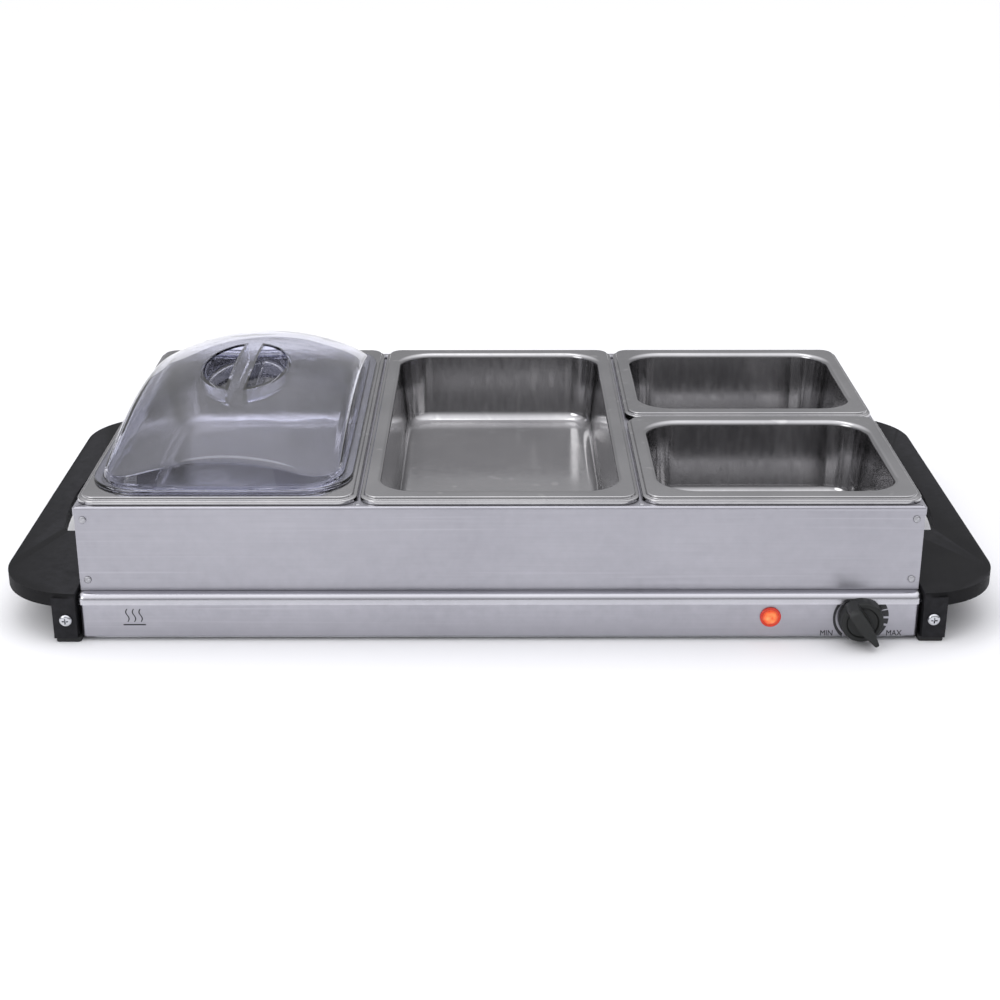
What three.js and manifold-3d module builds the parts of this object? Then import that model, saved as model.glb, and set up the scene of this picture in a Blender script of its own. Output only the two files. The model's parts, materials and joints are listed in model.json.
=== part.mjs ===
// Electric buffet server: a heated base, a lift-off frame, four steel pans and a clear domed lid.
// Millimetres. +X to the right, +Y to the rear, +Z up. The feet stand on z = 0.
// Everything is drawn about the middle of the body, and the whole group is then moved along Y
// so that the origin is the middle of the object's bounding box, knob and cord bush included.

import * as THREE from "three";
import { mergeVertices } from "three/addons/utils/BufferGeometryUtils.js";
import Module from "manifold-3d";

const wasm = await Module();
wasm.setup();

// ---------------------------------------------------------------- driving dimensions

const gap = 0.3; // between pieces that touch
const sheet = 1.0; // thickness of the folded steel

// Pans: three columns, the right-hand one split into a rear and a front pan.
const panWidth = 176;
const panDepth = 325;
const panSpacing = 2;
const halfPanDepth = (panDepth - panSpacing) / 2;
const rimTop = 94.3;
const rimHeight = 4.3;
const panHeight = 54;
const column = panWidth + panSpacing;
const panSteel = 0.8;
const mouthCorner = 25;
const endRim = 2.5; // how much wider the rim is at the front and rear than at the sides

// Base: warming plate with a stepped edge, over a housing that is a little smaller all round.
const plateHalfX = 268.3;
const plateHalfY = 173.2;
const plateTop = 33;
const plateauTop = 34.5;
const plateauInset = 12;
const skirtBottom = 26;
const housingHalfX = plateHalfX - 1.5;
const housingHalfY = plateHalfY - 1.5;
const housingBottom = 2.9;
const housingTop = 29;
const flangeWidth = 10;
const coverBottom = 1.8;
const coverThickness = 0.8;

// Frame: four riveted panels that stand on the warming plate.
const frameHalfX = 266.2;
const frameHalfY = 165.9;
const frameBottom = plateTop + gap;
const frameTop = rimTop - rimHeight - gap;
const frameFlange = 10.5;
const tabWidth = 12;
const rivetX = 261;
const rivetHeights = [40.5, 81.3];

// Handles: one moulding each, with a hand slot and a leg at each end.
const handleInnerX = plateHalfX + 0.4;
const handleFrontY = plateHalfY + 0.5;
const handleOuterX = 322.2;
const handleTop = 34;
const handleThickness = 9.1;
const handleCorner = 53;
const slotInnerX = 275;
const slotOuterX = 298.5;
const slotBow = 7;
const slotHalfY = 69;
const legInnerX = plateHalfX + 0.6;
const legOuterX = 283.8;
const legDepth = 22;
const padHeight = 2.8;
const handleScrewX = 275.5;
const handleScrewZ = 16;
const lugY = 162.5; // the housing's lugs, which the handle screws pull against

// Controls on the front of the housing.
const knobX = 229;
const lampX = 172;
const controlZ = 16.8;
const knobRadius = 14.2;
const knobBack = plateHalfY + 0.8;
const knobFace = knobBack + 8;
const gripFront = knobBack + 16;
const gripHalfLength = 16;
const gripHalfWidth = 4.8;
const lampRear = -143;
const thermostatRear = -142;
const knobRestAngle = -55; // the pointer's direction at rest, in degrees from +X towards +Z

// Lid on the left-hand pan.
const lidInset = 4.5;
const lidEndInset = 4.2; // how much shorter the lid is than the pan at each end, on top of that
const lidThickness = 2;
const lidCrown = 39.5;
const lidCurveX = 0.0033;
const lidCurveY = 0.0009;
const gripOvalX = 31.5;
const gripOvalY = 56.5;
const gripBarHalf = 7;
const pocketFloor = 24;
const plugDepth = 2.6; // how far the lid reaches into the pan's mouth

// Heating.
const elementRadius = 3.25;
const elementZ = plateauTop - sheet - gap - elementRadius;
const elementRuns = [-115, -38, 38, 115];
const elementLeftX = -225;
const elementRightX = 192;
const bushX = 192;
const bushZ = 16;
const bushRear = plateHalfY + 5;
const wireRadius = 1.3;
const screwHole = 1.9; // radius of the hole for a 3 mm screw or rivet

// ---------------------------------------------------------------- materials

const finish = (color, roughness, metalness, extra = {}) =>
  new THREE.MeshStandardMaterial({ color, roughness, metalness, ...extra });

const brushedSteel = finish(0xb9b8bd, 0.35, 1.0);
const drawnSteel = finish(0xa3a3a6, 0.22, 1.0);
const zincSteel = finish(0xa9abad, 0.5, 0.9);
const aluminium = finish(0xcfd1d3, 0.4, 1.0);
const blackPlastic = finish(0x2b2b2b, 0.45, 0.0);
const knobPlastic = finish(0x303030, 0.4, 0.0);
const blackRubber = finish(0x1b1b1b, 0.8, 0.0);
const screwSteel = finish(0xd4d6d8, 0.2, 1.0);
const clearPlastic = finish(0xdfe3f2, 0.06, 0.0, { transparent: true, opacity: 0.3 });
const redLens = finish(0xd8321c, 0.2, 0.0);
const elementSheath = finish(0x4d4a46, 0.6, 0.8);
const whiteCeramic = finish(0xe6e2d8, 0.5, 0.0);
const wireRed = finish(0xb03a2e, 0.6, 0.0);
const wireBlue = finish(0x2e5fa3, 0.6, 0.0);
const wireGreen = finish(0x7aa33a, 0.6, 0.0);

// ---------------------------------------------------------------- shape helpers

// A closed geometry as a manifold-3d solid.
function solid(geometry) {
  const bare = geometry.index ? geometry.toNonIndexed() : geometry.clone();
  bare.deleteAttribute("normal");
  bare.deleteAttribute("uv");
  const merged = mergeVertices(bare, 1e-4);
  const vertProperties = merged.attributes.position.array;
  const triVerts = new Uint32Array(merged.index.array);
  return new wasm.Manifold(new wasm.Mesh({ numProp: 3, vertProperties, triVerts }));
}

function geometryOf(manifold) {
  const { vertProperties, triVerts } = manifold.getMesh();
  const geometry = new THREE.BufferGeometry();
  geometry.setAttribute("position", new THREE.BufferAttribute(vertProperties, 3));
  geometry.setIndex(new THREE.BufferAttribute(triVerts, 1));
  return geometry;
}

const cut = (body, ...tools) =>
  geometryOf(tools.reduce((rest, tool) => rest.subtract(solid(tool)), solid(body)));

const join = (body, ...others) =>
  geometryOf(others.reduce((sum, other) => sum.add(solid(other)), solid(body)));

const common = (a, b) => geometryOf(solid(a).intersect(solid(b)));

// A box given by its lowest and highest corners.
function block([x0, y0, z0], [x1, y1, z1]) {
  const box = new THREE.BoxGeometry(x1 - x0, y1 - y0, z1 - z0);
  return box.translate((x0 + x1) / 2, (y0 + y1) / 2, (z0 + z1) / 2);
}

// A round bar along Y, from y0 to y1.
function barAlongY(radius, y0, y1, x, z, sides = 16) {
  const bar = new THREE.CylinderGeometry(radius, radius, y1 - y0, sides);
  return bar.translate(x, (y0 + y1) / 2, z);
}

function barAlongZ(radius, z0, z1, x, y, sides = 16) {
  const bar = new THREE.CylinderGeometry(radius, radius, z1 - z0, sides);
  return bar.rotateX(Math.PI / 2).translate(x, y, (z0 + z1) / 2);
}

// A turned piece whose axis runs along Y. The profile is [radius, y] pairs, from low y to high y
// on the outside, and starts and ends on the axis or closes on itself.
function turned(profile, x, z, sides = 20) {
  const points = profile.map(([radius, y]) => new THREE.Vector2(radius, y));
  return new THREE.LatheGeometry(points, sides).translate(x, 0, z);
}

function roundedRectangle(halfX, halfY, radius) {
  const quarter = Math.PI / 2;
  const shape = new THREE.Shape();
  shape.absarc(halfX - radius, halfY - radius, radius, 0, quarter);
  shape.absarc(radius - halfX, halfY - radius, radius, quarter, 2 * quarter);
  shape.absarc(radius - halfX, radius - halfY, radius, 2 * quarter, 3 * quarter);
  shape.absarc(halfX - radius, radius - halfY, radius, 3 * quarter, 4 * quarter);
  shape.closePath();
  return shape;
}

// A flat shape given thickness between two heights.
function slab(shape, z0, z1, curveSegments = 3) {
  const options = { depth: z1 - z0, bevelEnabled: false, curveSegments };
  return new THREE.ExtrudeGeometry(shape, options).translate(0, 0, z0);
}

// One level of a pressed shell: the points of a rounded rectangle, lifted to its height. They start
// and end at the rear edge, so that point i faces point -i across the shell. An arched shell has
// `sidePoints` more along each long side.
function level(halfX, halfY, radius, z, cornerSteps = 4, sidePoints = 0) {
  const points = [];
  const add = (x, y) => points.push(new THREE.Vector3(x, y, typeof z === "function" ? z(x, y) : z));
  for (const corner of [1, 2, 3, 0]) {
    const middleX = (corner === 0 || corner === 3 ? 1 : -1) * (halfX - radius);
    const middleY = (corner < 2 ? 1 : -1) * (halfY - radius);
    for (let step = 0; step <= cornerSteps; step += 1) {
      const angle = ((corner + step / cornerSteps) * Math.PI) / 2;
      add(middleX + radius * Math.cos(angle), middleY + radius * Math.sin(angle));
    }
    for (let point = 1; corner % 2 === 1 && point <= sidePoints; point += 1) {
      const share = 1 - (2 * point) / (sidePoints + 1);
      add(Math.sign(middleX) * halfX, middleY * share);
    }
  }
  return points;
}

// A pressed shell: levels joined one to the next, the first closed off below and the last above.
// They run down the inside of a shell and up its outside, or up a pan's outside and down its inside.
function pressed(levels) {
  const count = levels[0].length;
  const index = [];
  for (let row = 0; row + 1 < levels.length; row += 1) {
    for (let i = 0; i < count; i += 1) {
      const a = row * count + i;
      const b = row * count + ((i + 1) % count);
      index.push(a, b, b + count, a, b + count, a + count);
    }
  }
  const last = (levels.length - 1) * count;
  for (let i = 0; i + 1 < count / 2; i += 1) {
    const across = count - 1 - i;
    index.push(i, across - 1, i + 1, i, across, across - 1);
    index.push(last + i, last + i + 1, last + across - 1, last + i, last + across - 1, last + across);
  }
  return new THREE.BufferGeometry().setFromPoints(levels.flat()).setIndex(index);
}

// A round section swept along a smooth line through the points.
function tube(points, radius, steps) {
  const line = new THREE.CatmullRomCurve3(points.map((p) => new THREE.Vector3(...p)));
  return sweep(line, radius, steps);
}

// The section is eight-sided: an arc takes two points to each curve segment.
function sweep(line, radius, steps) {
  const section = new THREE.Shape();
  section.absarc(0, 0, radius, 0, 2 * Math.PI);
  return new THREE.ExtrudeGeometry(section, { steps, extrudePath: line, curveSegments: 4 });
}

const mirroredX = (geometry) => turnedOver(geometry, -1, 1);
const mirroredY = (geometry) => turnedOver(geometry, 1, -1);

// A mirror image, with its faces turned round so that they still point out.
function turnedOver(geometry, signX, signY) {
  const image = (geometry.index ? geometry.toNonIndexed() : geometry.clone()).scale(signX, signY, 1);
  image.deleteAttribute("normal");
  image.deleteAttribute("uv");
  const position = image.attributes.position;
  const index = Array.from({ length: position.count }, (_, i) => i - (i % 3) + [0, 2, 1][i % 3]);
  return image.setIndex(index);
}

const server = new THREE.Group();

function add(name, geometry, material) {
  const mesh = new THREE.Mesh(geometry, material);
  mesh.name = name;
  server.add(mesh);
  return mesh;
}

// ---------------------------------------------------------------- heated base

// Pressed top plate: flat raised middle, a ledge round it, a rounded edge and a short skirt.
function warmingPlate() {
  const at = (inset, z, radius) => level(plateHalfX - inset, plateHalfY - inset, radius, z);
  return pressed([
    at(plateauInset + 3, plateauTop - sheet, 10),
    at(plateauInset + 0.5, plateTop - sheet, 12),
    at(4, plateTop - sheet, 5),
    at(sheet, plateTop - 4, 7),
    at(sheet, skirtBottom, 7),
    at(0, skirtBottom, 8),
    at(0, plateTop - 3.5, 8),
    at(1, plateTop - 1, 8),
    at(3.5, plateTop, 6),
    at(plateauInset, plateTop, 12),
    at(plateauInset + 2.5, plateauTop, 10),
  ]);
}

// Folded band with a narrow flange turned in at the bottom and a lug for each handle leg.
function baseHousing() {
  const outline = (inset) =>
    roundedRectangle(housingHalfX - inset, housingHalfY - inset, Math.max(6.5 - inset, 1));
  const band = cut(
    slab(outline(0), housingBottom, housingTop),
    slab(outline(sheet), housingBottom + sheet, housingTop + 1),
    slab(outline(flangeWidth), housingBottom - 1, housingTop),
  );
  const lugs = [];
  for (const side of [-1, 1]) {
    for (const end of [-1, 1]) {
      const x = side * (housingHalfX + 7.2);
      const y = end * (lugY + sheet / 2);
      lugs.push(block([x - 7.6, y - sheet / 2, 7], [x + 7.6, y + sheet / 2, 23.5]));
    }
  }
  const openings = [
    barAlongY(4.2, -housingHalfY - 2, -housingHalfY + 3, knobX, controlZ),
    barAlongY(5.3, -housingHalfY - 2, -housingHalfY + 3, lampX, controlZ),
    barAlongY(6.6, housingHalfY - 3, housingHalfY + 2, bushX, bushZ),
    ...thermostatScrewPlaces.map((x) =>
      barAlongY(screwHole, -housingHalfY - 2, -housingHalfY + 3, x, controlZ, 10)),
    ...coverScrewPlaces.map(([x, y]) =>
      barAlongZ(screwHole, housingBottom - 1, housingBottom + 2, x, y, 10)),
  ];
  for (const side of [-1, 1]) {
    for (const end of [-1, 1]) {
      const y = end * lugY;
      openings.push(barAlongY(2.4, y - 4, y + 4, side * handleScrewX, handleScrewZ, 12));
    }
  }
  return cut(join(band, ...lugs), ...openings);
}

const coverScrewPlaces = [-1, 1].flatMap((end) =>
  [-1, 1].map((side) => [side * 195, end * (housingHalfY - 6)]));
const thermostatScrewPlaces = [knobX - 10.5, knobX + 10.5];

// Flat bottom plate with two rows of air slots.
function bottomCover() {
  const outline = roundedRectangle(housingHalfX - 4, housingHalfY - 2.5, 6);
  const plate = slab(outline, coverBottom, coverBottom + coverThickness);
  const slots = [];
  for (const y of [-75, 75]) {
    for (let i = -3; i <= 3; i += 1) {
      slots.push(block([i * 60 - 20, y - 2, 0], [i * 60 + 20, y + 2, 5]));
    }
  }
  const holes = coverScrewPlaces.map(([x, y]) => barAlongZ(screwHole, 0, 5, x, y, 10));
  return cut(plate, ...slots, ...holes);
}

// Tubular element: four long runs joined by half turns, both ends at the right.
function heatingElement() {
  const path = new THREE.CurvePath();
  const place = (x, y) => new THREE.Vector3(x, y, elementZ);
  const turnLeftX = elementLeftX + (elementRuns[1] - elementRuns[0]) / 2;
  const turnRightX = elementRightX - 47;
  elementRuns.forEach((y, run) => {
    const goesLeft = run % 2 === 0;
    const startX = run === 0 ? elementRightX : goesLeft ? turnRightX : turnLeftX;
    const endX = run === elementRuns.length - 1 ? elementRightX : goesLeft ? turnLeftX : turnRightX;
    path.add(new THREE.LineCurve3(place(startX, y), place(endX, y)));
    if (run + 1 < elementRuns.length) path.add(halfTurn(endX, y, elementRuns[run + 1], goesLeft));
  });
  return sweep(path, elementRadius, 84);
}

// A half circle in the element's plane, from height y0 to y1, bulging to the left or the right.
function halfTurn(x, y0, y1, bulgesLeft) {
  const radius = (y1 - y0) / 2;
  const points = [];
  for (let step = 0; step <= 12; step += 1) {
    const angle = (step / 12) * Math.PI - Math.PI / 2;
    const reach = (bulgesLeft ? -1 : 1) * radius * Math.cos(angle);
    points.push(new THREE.Vector3(x + reach, (y0 + y1) / 2 + radius * Math.sin(angle), elementZ));
  }
  return new THREE.CatmullRomCurve3(points);
}

// Saddle under the element, spot-welded to the plate above.
function elementClip(x, y) {
  const body = block([x - 7, y - 13, elementZ - 5], [x + 7, y + 13, plateauTop - sheet - gap]);
  const channel = block(
    [x - 8, y - elementRadius - gap, elementZ - elementRadius - gap],
    [x + 8, y + elementRadius + gap, plateauTop],
  );
  const beside = elementRadius + 2;
  const under = [-1, 1].map((side) => {
    const [y0, y1] = [y + side * beside, y + side * 14].sort((a, b) => a - b);
    return block([x - 8, y0, elementZ - 6], [x + 8, y1, plateauTop - 3]);
  });
  return cut(body, channel, ...under);
}

// Shallow aluminium tray that turns the heat upwards, hung from the plate by four upright tabs.
function heatShield() {
  const halfX = 222;
  const halfY = 137;
  const metal = 0.8;
  const at = (inset, z, radius) => level(halfX - inset, halfY - inset, radius, z, 3);
  const tray = pressed([
    at(1, 18, 5),
    at(0, 19, 6),
    at(0, 25, 6),
    at(metal, 25, 6 - metal),
    at(metal, 18.8, 6 - metal),
  ]);
  const tabTop = plateTop - sheet - gap;
  const tabs = [-1, 1].flatMap((side) => {
    const y = side * (halfY - metal / 2);
    return [
      block([-halfX, side * 80 - 6, 21], [metal - halfX, side * 80 + 6, tabTop]),
      block([30, y - metal / 2, 21], [42, y + metal / 2, tabTop]),
    ];
  });
  return join(tray, ...tabs).translate(-36, 0, 0);
}

// ---------------------------------------------------------------- controls

function thermostatBody() {
  const front = -housingHalfY + 8.5;
  const body = block([knobX - 16, front, 5.5], [knobX + 16, thermostatRear - 2.4, 28]);
  const collar = barAlongY(5.5, front - 4, front + 1, knobX, controlZ, 16);
  const terminals = [-6, 6].map((x) =>
    block([knobX + x - 2.5, thermostatRear - 3, 10], [knobX + x + 2.5, thermostatRear, 20]));
  const bore = barAlongY(3.4, front - 5, front + 11, knobX, controlZ, 16);
  return cut(join(body, collar, ...terminals), bore);
}

// Folded strap: a front plate against the fascia and an arm down each side of the thermostat.
function thermostatBracket() {
  const front = -housingHalfY + sheet + gap;
  const plate = block([knobX - 18, front, 8], [knobX + 18, front + sheet, 27]);
  const arms = [-1, 1].map((side) => {
    const x = knobX + side * 17;
    return block([x - 0.6, front, 8], [x + 0.6, thermostatRear - 4, 27]);
  });
  const holes = thermostatScrewPlaces.map((x) =>
    barAlongY(screwHole, front - 2, front + 3, x, controlZ, 10));
  const collarHole = barAlongY(6, front - 2, front + 3, knobX, controlZ, 16);
  return cut(join(plate, ...arms), collarHole, ...holes);
}

function thermostatScrew(x) {
  const face = -housingHalfY - gap;
  return turned(
    [[0, face - 1.5], [2.2, face - 1.1], [2.7, face], [1.5, face], [1.5, face + 6], [0, face + 6]],
    x, controlZ, 10,
  );
}

function thermostatShaft() {
  const round = barAlongY(3, -knobFace - 3, -housingHalfY + 19, knobX, controlZ, 16);
  const flat = block([knobX - 4, -knobFace - 4, controlZ + 1.6], [knobX + 4, -knobBack, controlZ + 5]);
  return cut(round, flat);
}

// Round skirt with a grip bar across it. The bar runs to a point at the end that shows the setting.
function controlKnob() {
  const skirt = turned(
    [
      [0, -knobFace], [knobRadius - 2.6, -knobFace], [knobRadius - 0.8, -knobFace + 1.6],
      [knobRadius, -knobBack], [0, -knobBack],
    ],
    0, 0, 28,
  );
  const bar = new THREE.Shape();
  bar.moveTo(gripHalfWidth - gripHalfLength, -gripHalfWidth);
  bar.lineTo(gripHalfLength - 6, -gripHalfWidth);
  bar.lineTo(gripHalfLength, -1.8);
  bar.lineTo(gripHalfLength, 1.8);
  bar.lineTo(gripHalfLength - 6, gripHalfWidth);
  bar.lineTo(gripHalfWidth - gripHalfLength, gripHalfWidth);
  bar.absarc(gripHalfWidth - gripHalfLength, 0, gripHalfWidth, Math.PI / 2, (3 * Math.PI) / 2);
  const grip = new THREE.ExtrudeGeometry(bar, {
    depth: gripFront - knobBack - 2, bevelEnabled: true, bevelThickness: 1, bevelSize: 0.9,
    bevelOffset: -0.9, bevelSegments: 2, curveSegments: 6,
  });
  grip.translate(0, 0, knobBack + 1).rotateX(Math.PI / 2);
  const bore = barAlongY(3.4, -knobFace - 4, 1 - knobBack, 0, 0, 16);
  const knob = cut(join(skirt, grip), bore);
  return knob.rotateY((-knobRestAngle * Math.PI) / 180).translate(knobX, 0, controlZ);
}

function indicatorLens() {
  const back = -housingHalfY - gap;
  return turned(
    [
      [0, back - 2.7], [2.8, back - 2.5], [5.1, back - 1.7], [6.7, back - 1.1], [6.7, back],
      [4.9, back], [4.9, back + 11.5], [0, back + 11.5],
    ],
    lampX, controlZ, 20,
  );
}

function indicatorBody() {
  return barAlongY(4.6, -housingHalfY + 11.5, lampRear, lampX, controlZ, 12);
}

function indicatorNut() {
  const front = -housingHalfY + sheet + gap;
  const hexagon = barAlongY(8, front, front + 3, lampX, controlZ, 6);
  return cut(hexagon, barAlongY(5.4, front - 1, front + 4, lampX, controlZ, 16));
}

const terminalPlace = { x: bushX, y: 141, halfX: 15, halfY: 7 };

function terminalBlock() {
  const { x, y, halfX, halfY } = terminalPlace;
  const body = block([x - halfX, y - halfY, coverBottom + coverThickness + gap], [x + halfX, y + halfY, 16]);
  const screwWells = [-9, 0, 9].map((step) => barAlongZ(2.2, 12, 18, x + step, y, 8));
  return cut(body, ...screwWells);
}

const thermalFuse = () =>
  new THREE.CylinderGeometry(3, 3, 18, 10).rotateZ(Math.PI / 2)
    .translate(elementRightX + gap + 9, elementRuns[0], elementZ);

// Flanged bush in the rear wall, bored for the mains cord.
function cordBush() {
  const wall = housingHalfY + gap;
  return turned(
    [
      [3.6, wall - 9], [6.3, wall - 9], [6.3, wall], [9, wall], [9, wall + 2.2], [7, wall + 3],
      [5.6, bushRear], [3.6, bushRear], [3.6, wall - 9],
    ],
    bushX, bushZ, 16,
  );
}

// Wire routes, each from terminal to terminal inside the housing.
const wires = {
  live_wire: [
    [185, 133.5, 9], [185, 127, 8.6], [187, 110, 7.6], [195, 60, 7.5], [202, -40, 7.5],
    [212, -102, 8.5], [221, -124, 13], [223, -135, 15], [223, thermostatRear + 0.5, 15],
  ],
  fuse_wire: [
    [235, thermostatRear + 0.5, 16], [235, -136, 16.2], [233, -127, 21], [226, -118, 27.6],
    [219, -115.4, 29.6], [elementRightX + 19, -115, elementZ],
  ],
  neutral_wire: [
    [elementRightX + 0.5, 115, elementZ], [199, 115.2, 29.6], [210, 118, 24], [216, 128, 15],
    [216, 137, 10], [212, 141, 9], [207.6, 141, 9],
  ],
  earth_wire: [
    [176.4, 141, 9], [171, 141, 9], [160, 144, 8.5], [152, 153, 11], [151, 162, 13.6], [151, 170, 13.8],
  ],
  lamp_wire: [
    [lampX, lampRear + 0.8, controlZ], [lampX, -136, 15], [172.6, -112, 8], [174, 0, 7],
    [177, 98, 8], [180.6, 124, 11.4], [181, 133.5, 12],
  ],
};

// ---------------------------------------------------------------- handles and feet

// Right-hand handle: a flat bow with a hand slot, and a leg at each end that carries a foot.
function handle() {
  const frontY = handleFrontY;
  const bow = new THREE.Shape();
  bow.moveTo(handleInnerX, -frontY);
  bow.lineTo(handleOuterX - handleCorner, -frontY);
  bow.absarc(handleOuterX - handleCorner, handleCorner - frontY, handleCorner, -Math.PI / 2, 0);
  bow.absarc(handleOuterX - handleCorner, frontY - handleCorner, handleCorner, 0, Math.PI / 2);
  bow.lineTo(handleInnerX, frontY);
  bow.closePath();
  const slot = new THREE.Path();
  slot.moveTo(slotInnerX, -slotHalfY);
  slot.lineTo(slotInnerX, slotHalfY);
  slot.lineTo(slotOuterX, slotHalfY);
  slot.quadraticCurveTo(slotOuterX + 2 * slotBow, 0, slotOuterX, -slotHalfY);
  slot.closePath();
  bow.holes.push(slot);
  const legs = [-1, 1].map((end) => {
    const [y0, y1] = [end * frontY, end * (frontY - legDepth)].sort((a, b) => a - b);
    return block([legInnerX, y0, padHeight + gap], [legOuterX, y1, handleTop - 2]);
  });
  const recesses = [-1, 1].flatMap((end) => {
    const y = end * (lugY + sheet / 2);
    const [from, to] = [end * (frontY + 1), end * (lugY - 6)].sort((a, b) => a - b);
    return [
      block([legInnerX - 1, y - 1, 6], [legOuterX - 1.8, y + 1, 24.5]),
      barAlongY(2.4, from, to, handleScrewX, handleScrewZ, 12),
    ];
  });
  return cut(join(slab(bow, handleTop - handleThickness, handleTop, 8), ...legs), ...recesses);
}

// Pan-head screw through the front of a leg, with a cross recess.
function handleScrew() {
  const face = -handleFrontY - gap;
  const screw = turned(
    [
      [0, face - 2.3], [2.2, face - 2.1], [3.7, face - 1.2], [4.2, face], [2, face],
      [2, -lugY + 5], [0, -lugY + 5],
    ],
    handleScrewX, handleScrewZ, 16,
  );
  const recess = [0, Math.PI / 2].map((turn) =>
    new THREE.BoxGeometry(4.2, 3, 1).rotateY(turn).translate(handleScrewX, face - 2.3, handleScrewZ));
  return cut(screw, ...recess);
}

function footPad() {
  const shape = roundedRectangle(8, 10, 2);
  return slab(shape, 0, padHeight, 3).translate(legOuterX - 8.6, -handleFrontY + 11, 0);
}

function coverScrew(x, y) {
  const top = coverBottom - gap;
  const profile = [[0, 0.6], [2.4, 0.9], [3, top], [1.5, top], [1.5, 8], [0, 8]];
  const points = profile.map(([radius, z]) => new THREE.Vector2(radius, z));
  return new THREE.LatheGeometry(points, 10).rotateX(Math.PI / 2).translate(x, y, 0);
}

// ---------------------------------------------------------------- lift-off frame

// A front or rear panel: upright sheet with its top edge folded in to carry the pans.
function longPanel() {
  const face = block([-frameHalfX, -frameHalfY, frameBottom], [frameHalfX, -frameHalfY + sheet, frameTop]);
  const flangeRear = -frameHalfY + frameFlange;
  const flange = block([-frameHalfX, -frameHalfY, frameTop - sheet], [frameHalfX, flangeRear, frameTop]);
  const holes = rivetPlaces().map(([x, z]) =>
    barAlongY(screwHole, -frameHalfY - 2, -frameHalfY + 3, x, z, 10));
  return cut(join(face, flange), ...holes);
}

const rivetPlaces = () => [-1, 1].flatMap((side) => rivetHeights.map((z) => [side * rivetX, z]));

// The left-hand panel, with a hemmed top edge and a tab behind each long panel.
function sidePanel() {
  const end = frameHalfY - sheet - gap;
  const top = frameTop;
  const face = block([-frameHalfX, -end, frameBottom], [-frameHalfX + sheet, end, top]);
  const hem = block([-frameHalfX - 1, -end, top - 6], [-frameHalfX + sheet, end, top]);
  const shelf = frameHalfY - frameFlange - gap;
  const flange = block([-frameHalfX, -shelf, top - sheet], [-frameHalfX + frameFlange, shelf, top]);
  const tabs = [-1, 1].map((side) => {
    const [y0, y1] = [side * end, side * (end - sheet)].sort((a, b) => a - b);
    return block([-frameHalfX, y0, frameBottom], [-frameHalfX + tabWidth, y1, top - sheet - gap]);
  });
  // The long panels' flanges pass over this panel's ends.
  const relief = [-1, 1].map((side) => {
    const [y0, y1] = [side * shelf, side * (frameHalfY + 1)].sort((a, b) => a - b);
    return block([-frameHalfX - 2, y0, top - sheet - gap], [-frameHalfX + frameFlange + 1, y1, top + 1]);
  });
  const holes = rivetHeights.flatMap((z) =>
    [-1, 1].map((side) => barAlongY(screwHole, side * end - 3, side * end + 3, -rivetX, z, 10)));
  return cut(join(face, hem, flange, ...tabs), ...relief, ...holes);
}

// Rivet at the front left: a low domed head, a shank and a flat tail behind the tab.
function rivet(z) {
  const head = -frameHalfY - gap;
  const tail = -frameHalfY + 2 * sheet + 2 * gap;
  return turned(
    [
      [0, head - 0.9], [1.6, head - 0.7], [2.4, head], [1.5, head], [1.5, tail], [2.5, tail],
      [2.5, tail + 0.8], [0, tail + 0.8],
    ],
    -rivetX, z, 12,
  );
}

// Folded channel, open below, that runs under the frame's flanges between two pans.
function divider(halfWidth, from, to, alongX) {
  const top = frameTop - sheet - gap;
  const outside = block([from, -halfWidth, top - 13], [to, halfWidth, top]);
  const inside = block([from - 1, -halfWidth + sheet, top - 14], [to + 1, halfWidth - sheet, top - sheet]);
  const channel = cut(outside, inside);
  return alongX ? channel : channel.rotateZ(Math.PI / 2);
}

// ---------------------------------------------------------------- pans

// Deep-drawn pan. Each entry gives how far in from the outer edge, how far below the rim top,
// and the corner radius there: first up the outside, then over the rim and down the inside.
// The rim is wider at the front and rear than at the sides.
function pan(depth) {
  const outerCorner = 12;
  const edge = (inset, below, radius) =>
    level(panWidth / 2 - inset, depth / 2 - inset, radius, rimTop - below);
  const bowl = (inset, below, radius) =>
    level(panWidth / 2 - inset, depth / 2 - inset - endRim, radius, rimTop - below);
  return pressed([
    bowl(25, panHeight, 18),
    bowl(18.4, panHeight - 2, 23),
    bowl(16.2, panHeight - 6.2, 24),
    bowl(12, 4, mouthCorner + 0.8),
    bowl(10.8, 1.6, mouthCorner + 1.4),
    bowl(8.6, panSteel, mouthCorner + 3),
    edge(4.2, panSteel, outerCorner - 3),
    edge(3.8, 2.4, outerCorner - 3),
    edge(panSteel, 2.6, outerCorner - panSteel),
    edge(panSteel, rimHeight, outerCorner - panSteel),
    edge(0, rimHeight, outerCorner),
    edge(0, 2.4, outerCorner),
    edge(0.8, 1.8, outerCorner - 0.6),
    edge(2.6, 1.6, outerCorner - 2),
    edge(3.1, 0.4, outerCorner - 2.4),
    edge(3.9, 0, outerCorner - 3),
    bowl(8.8, 0, mouthCorner + 3),
    bowl(11.4, 1, mouthCorner + 1),
    bowl(12.8, 3.8, mouthCorner),
    bowl(17, panHeight - 6.8, 23),
    bowl(19.2, panHeight - 2.8, 22),
    bowl(25, panHeight - panSteel, 18),
  ]);
}

// ---------------------------------------------------------------- lid

// Height of the dome above the rim, at a place measured from the lid's middle.
const domeHeight = (x, y) => lidCrown - lidCurveX * x * x - lidCurveY * y * y;

const lidHalfX = panWidth / 2;
const lidHalfY = panDepth / 2;
const seat = rimTop + gap;
const lidLevel = (inset, z, radius) =>
  level(lidHalfX - inset, lidHalfY - inset - lidEndInset, radius, z, 6, 5);

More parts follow.
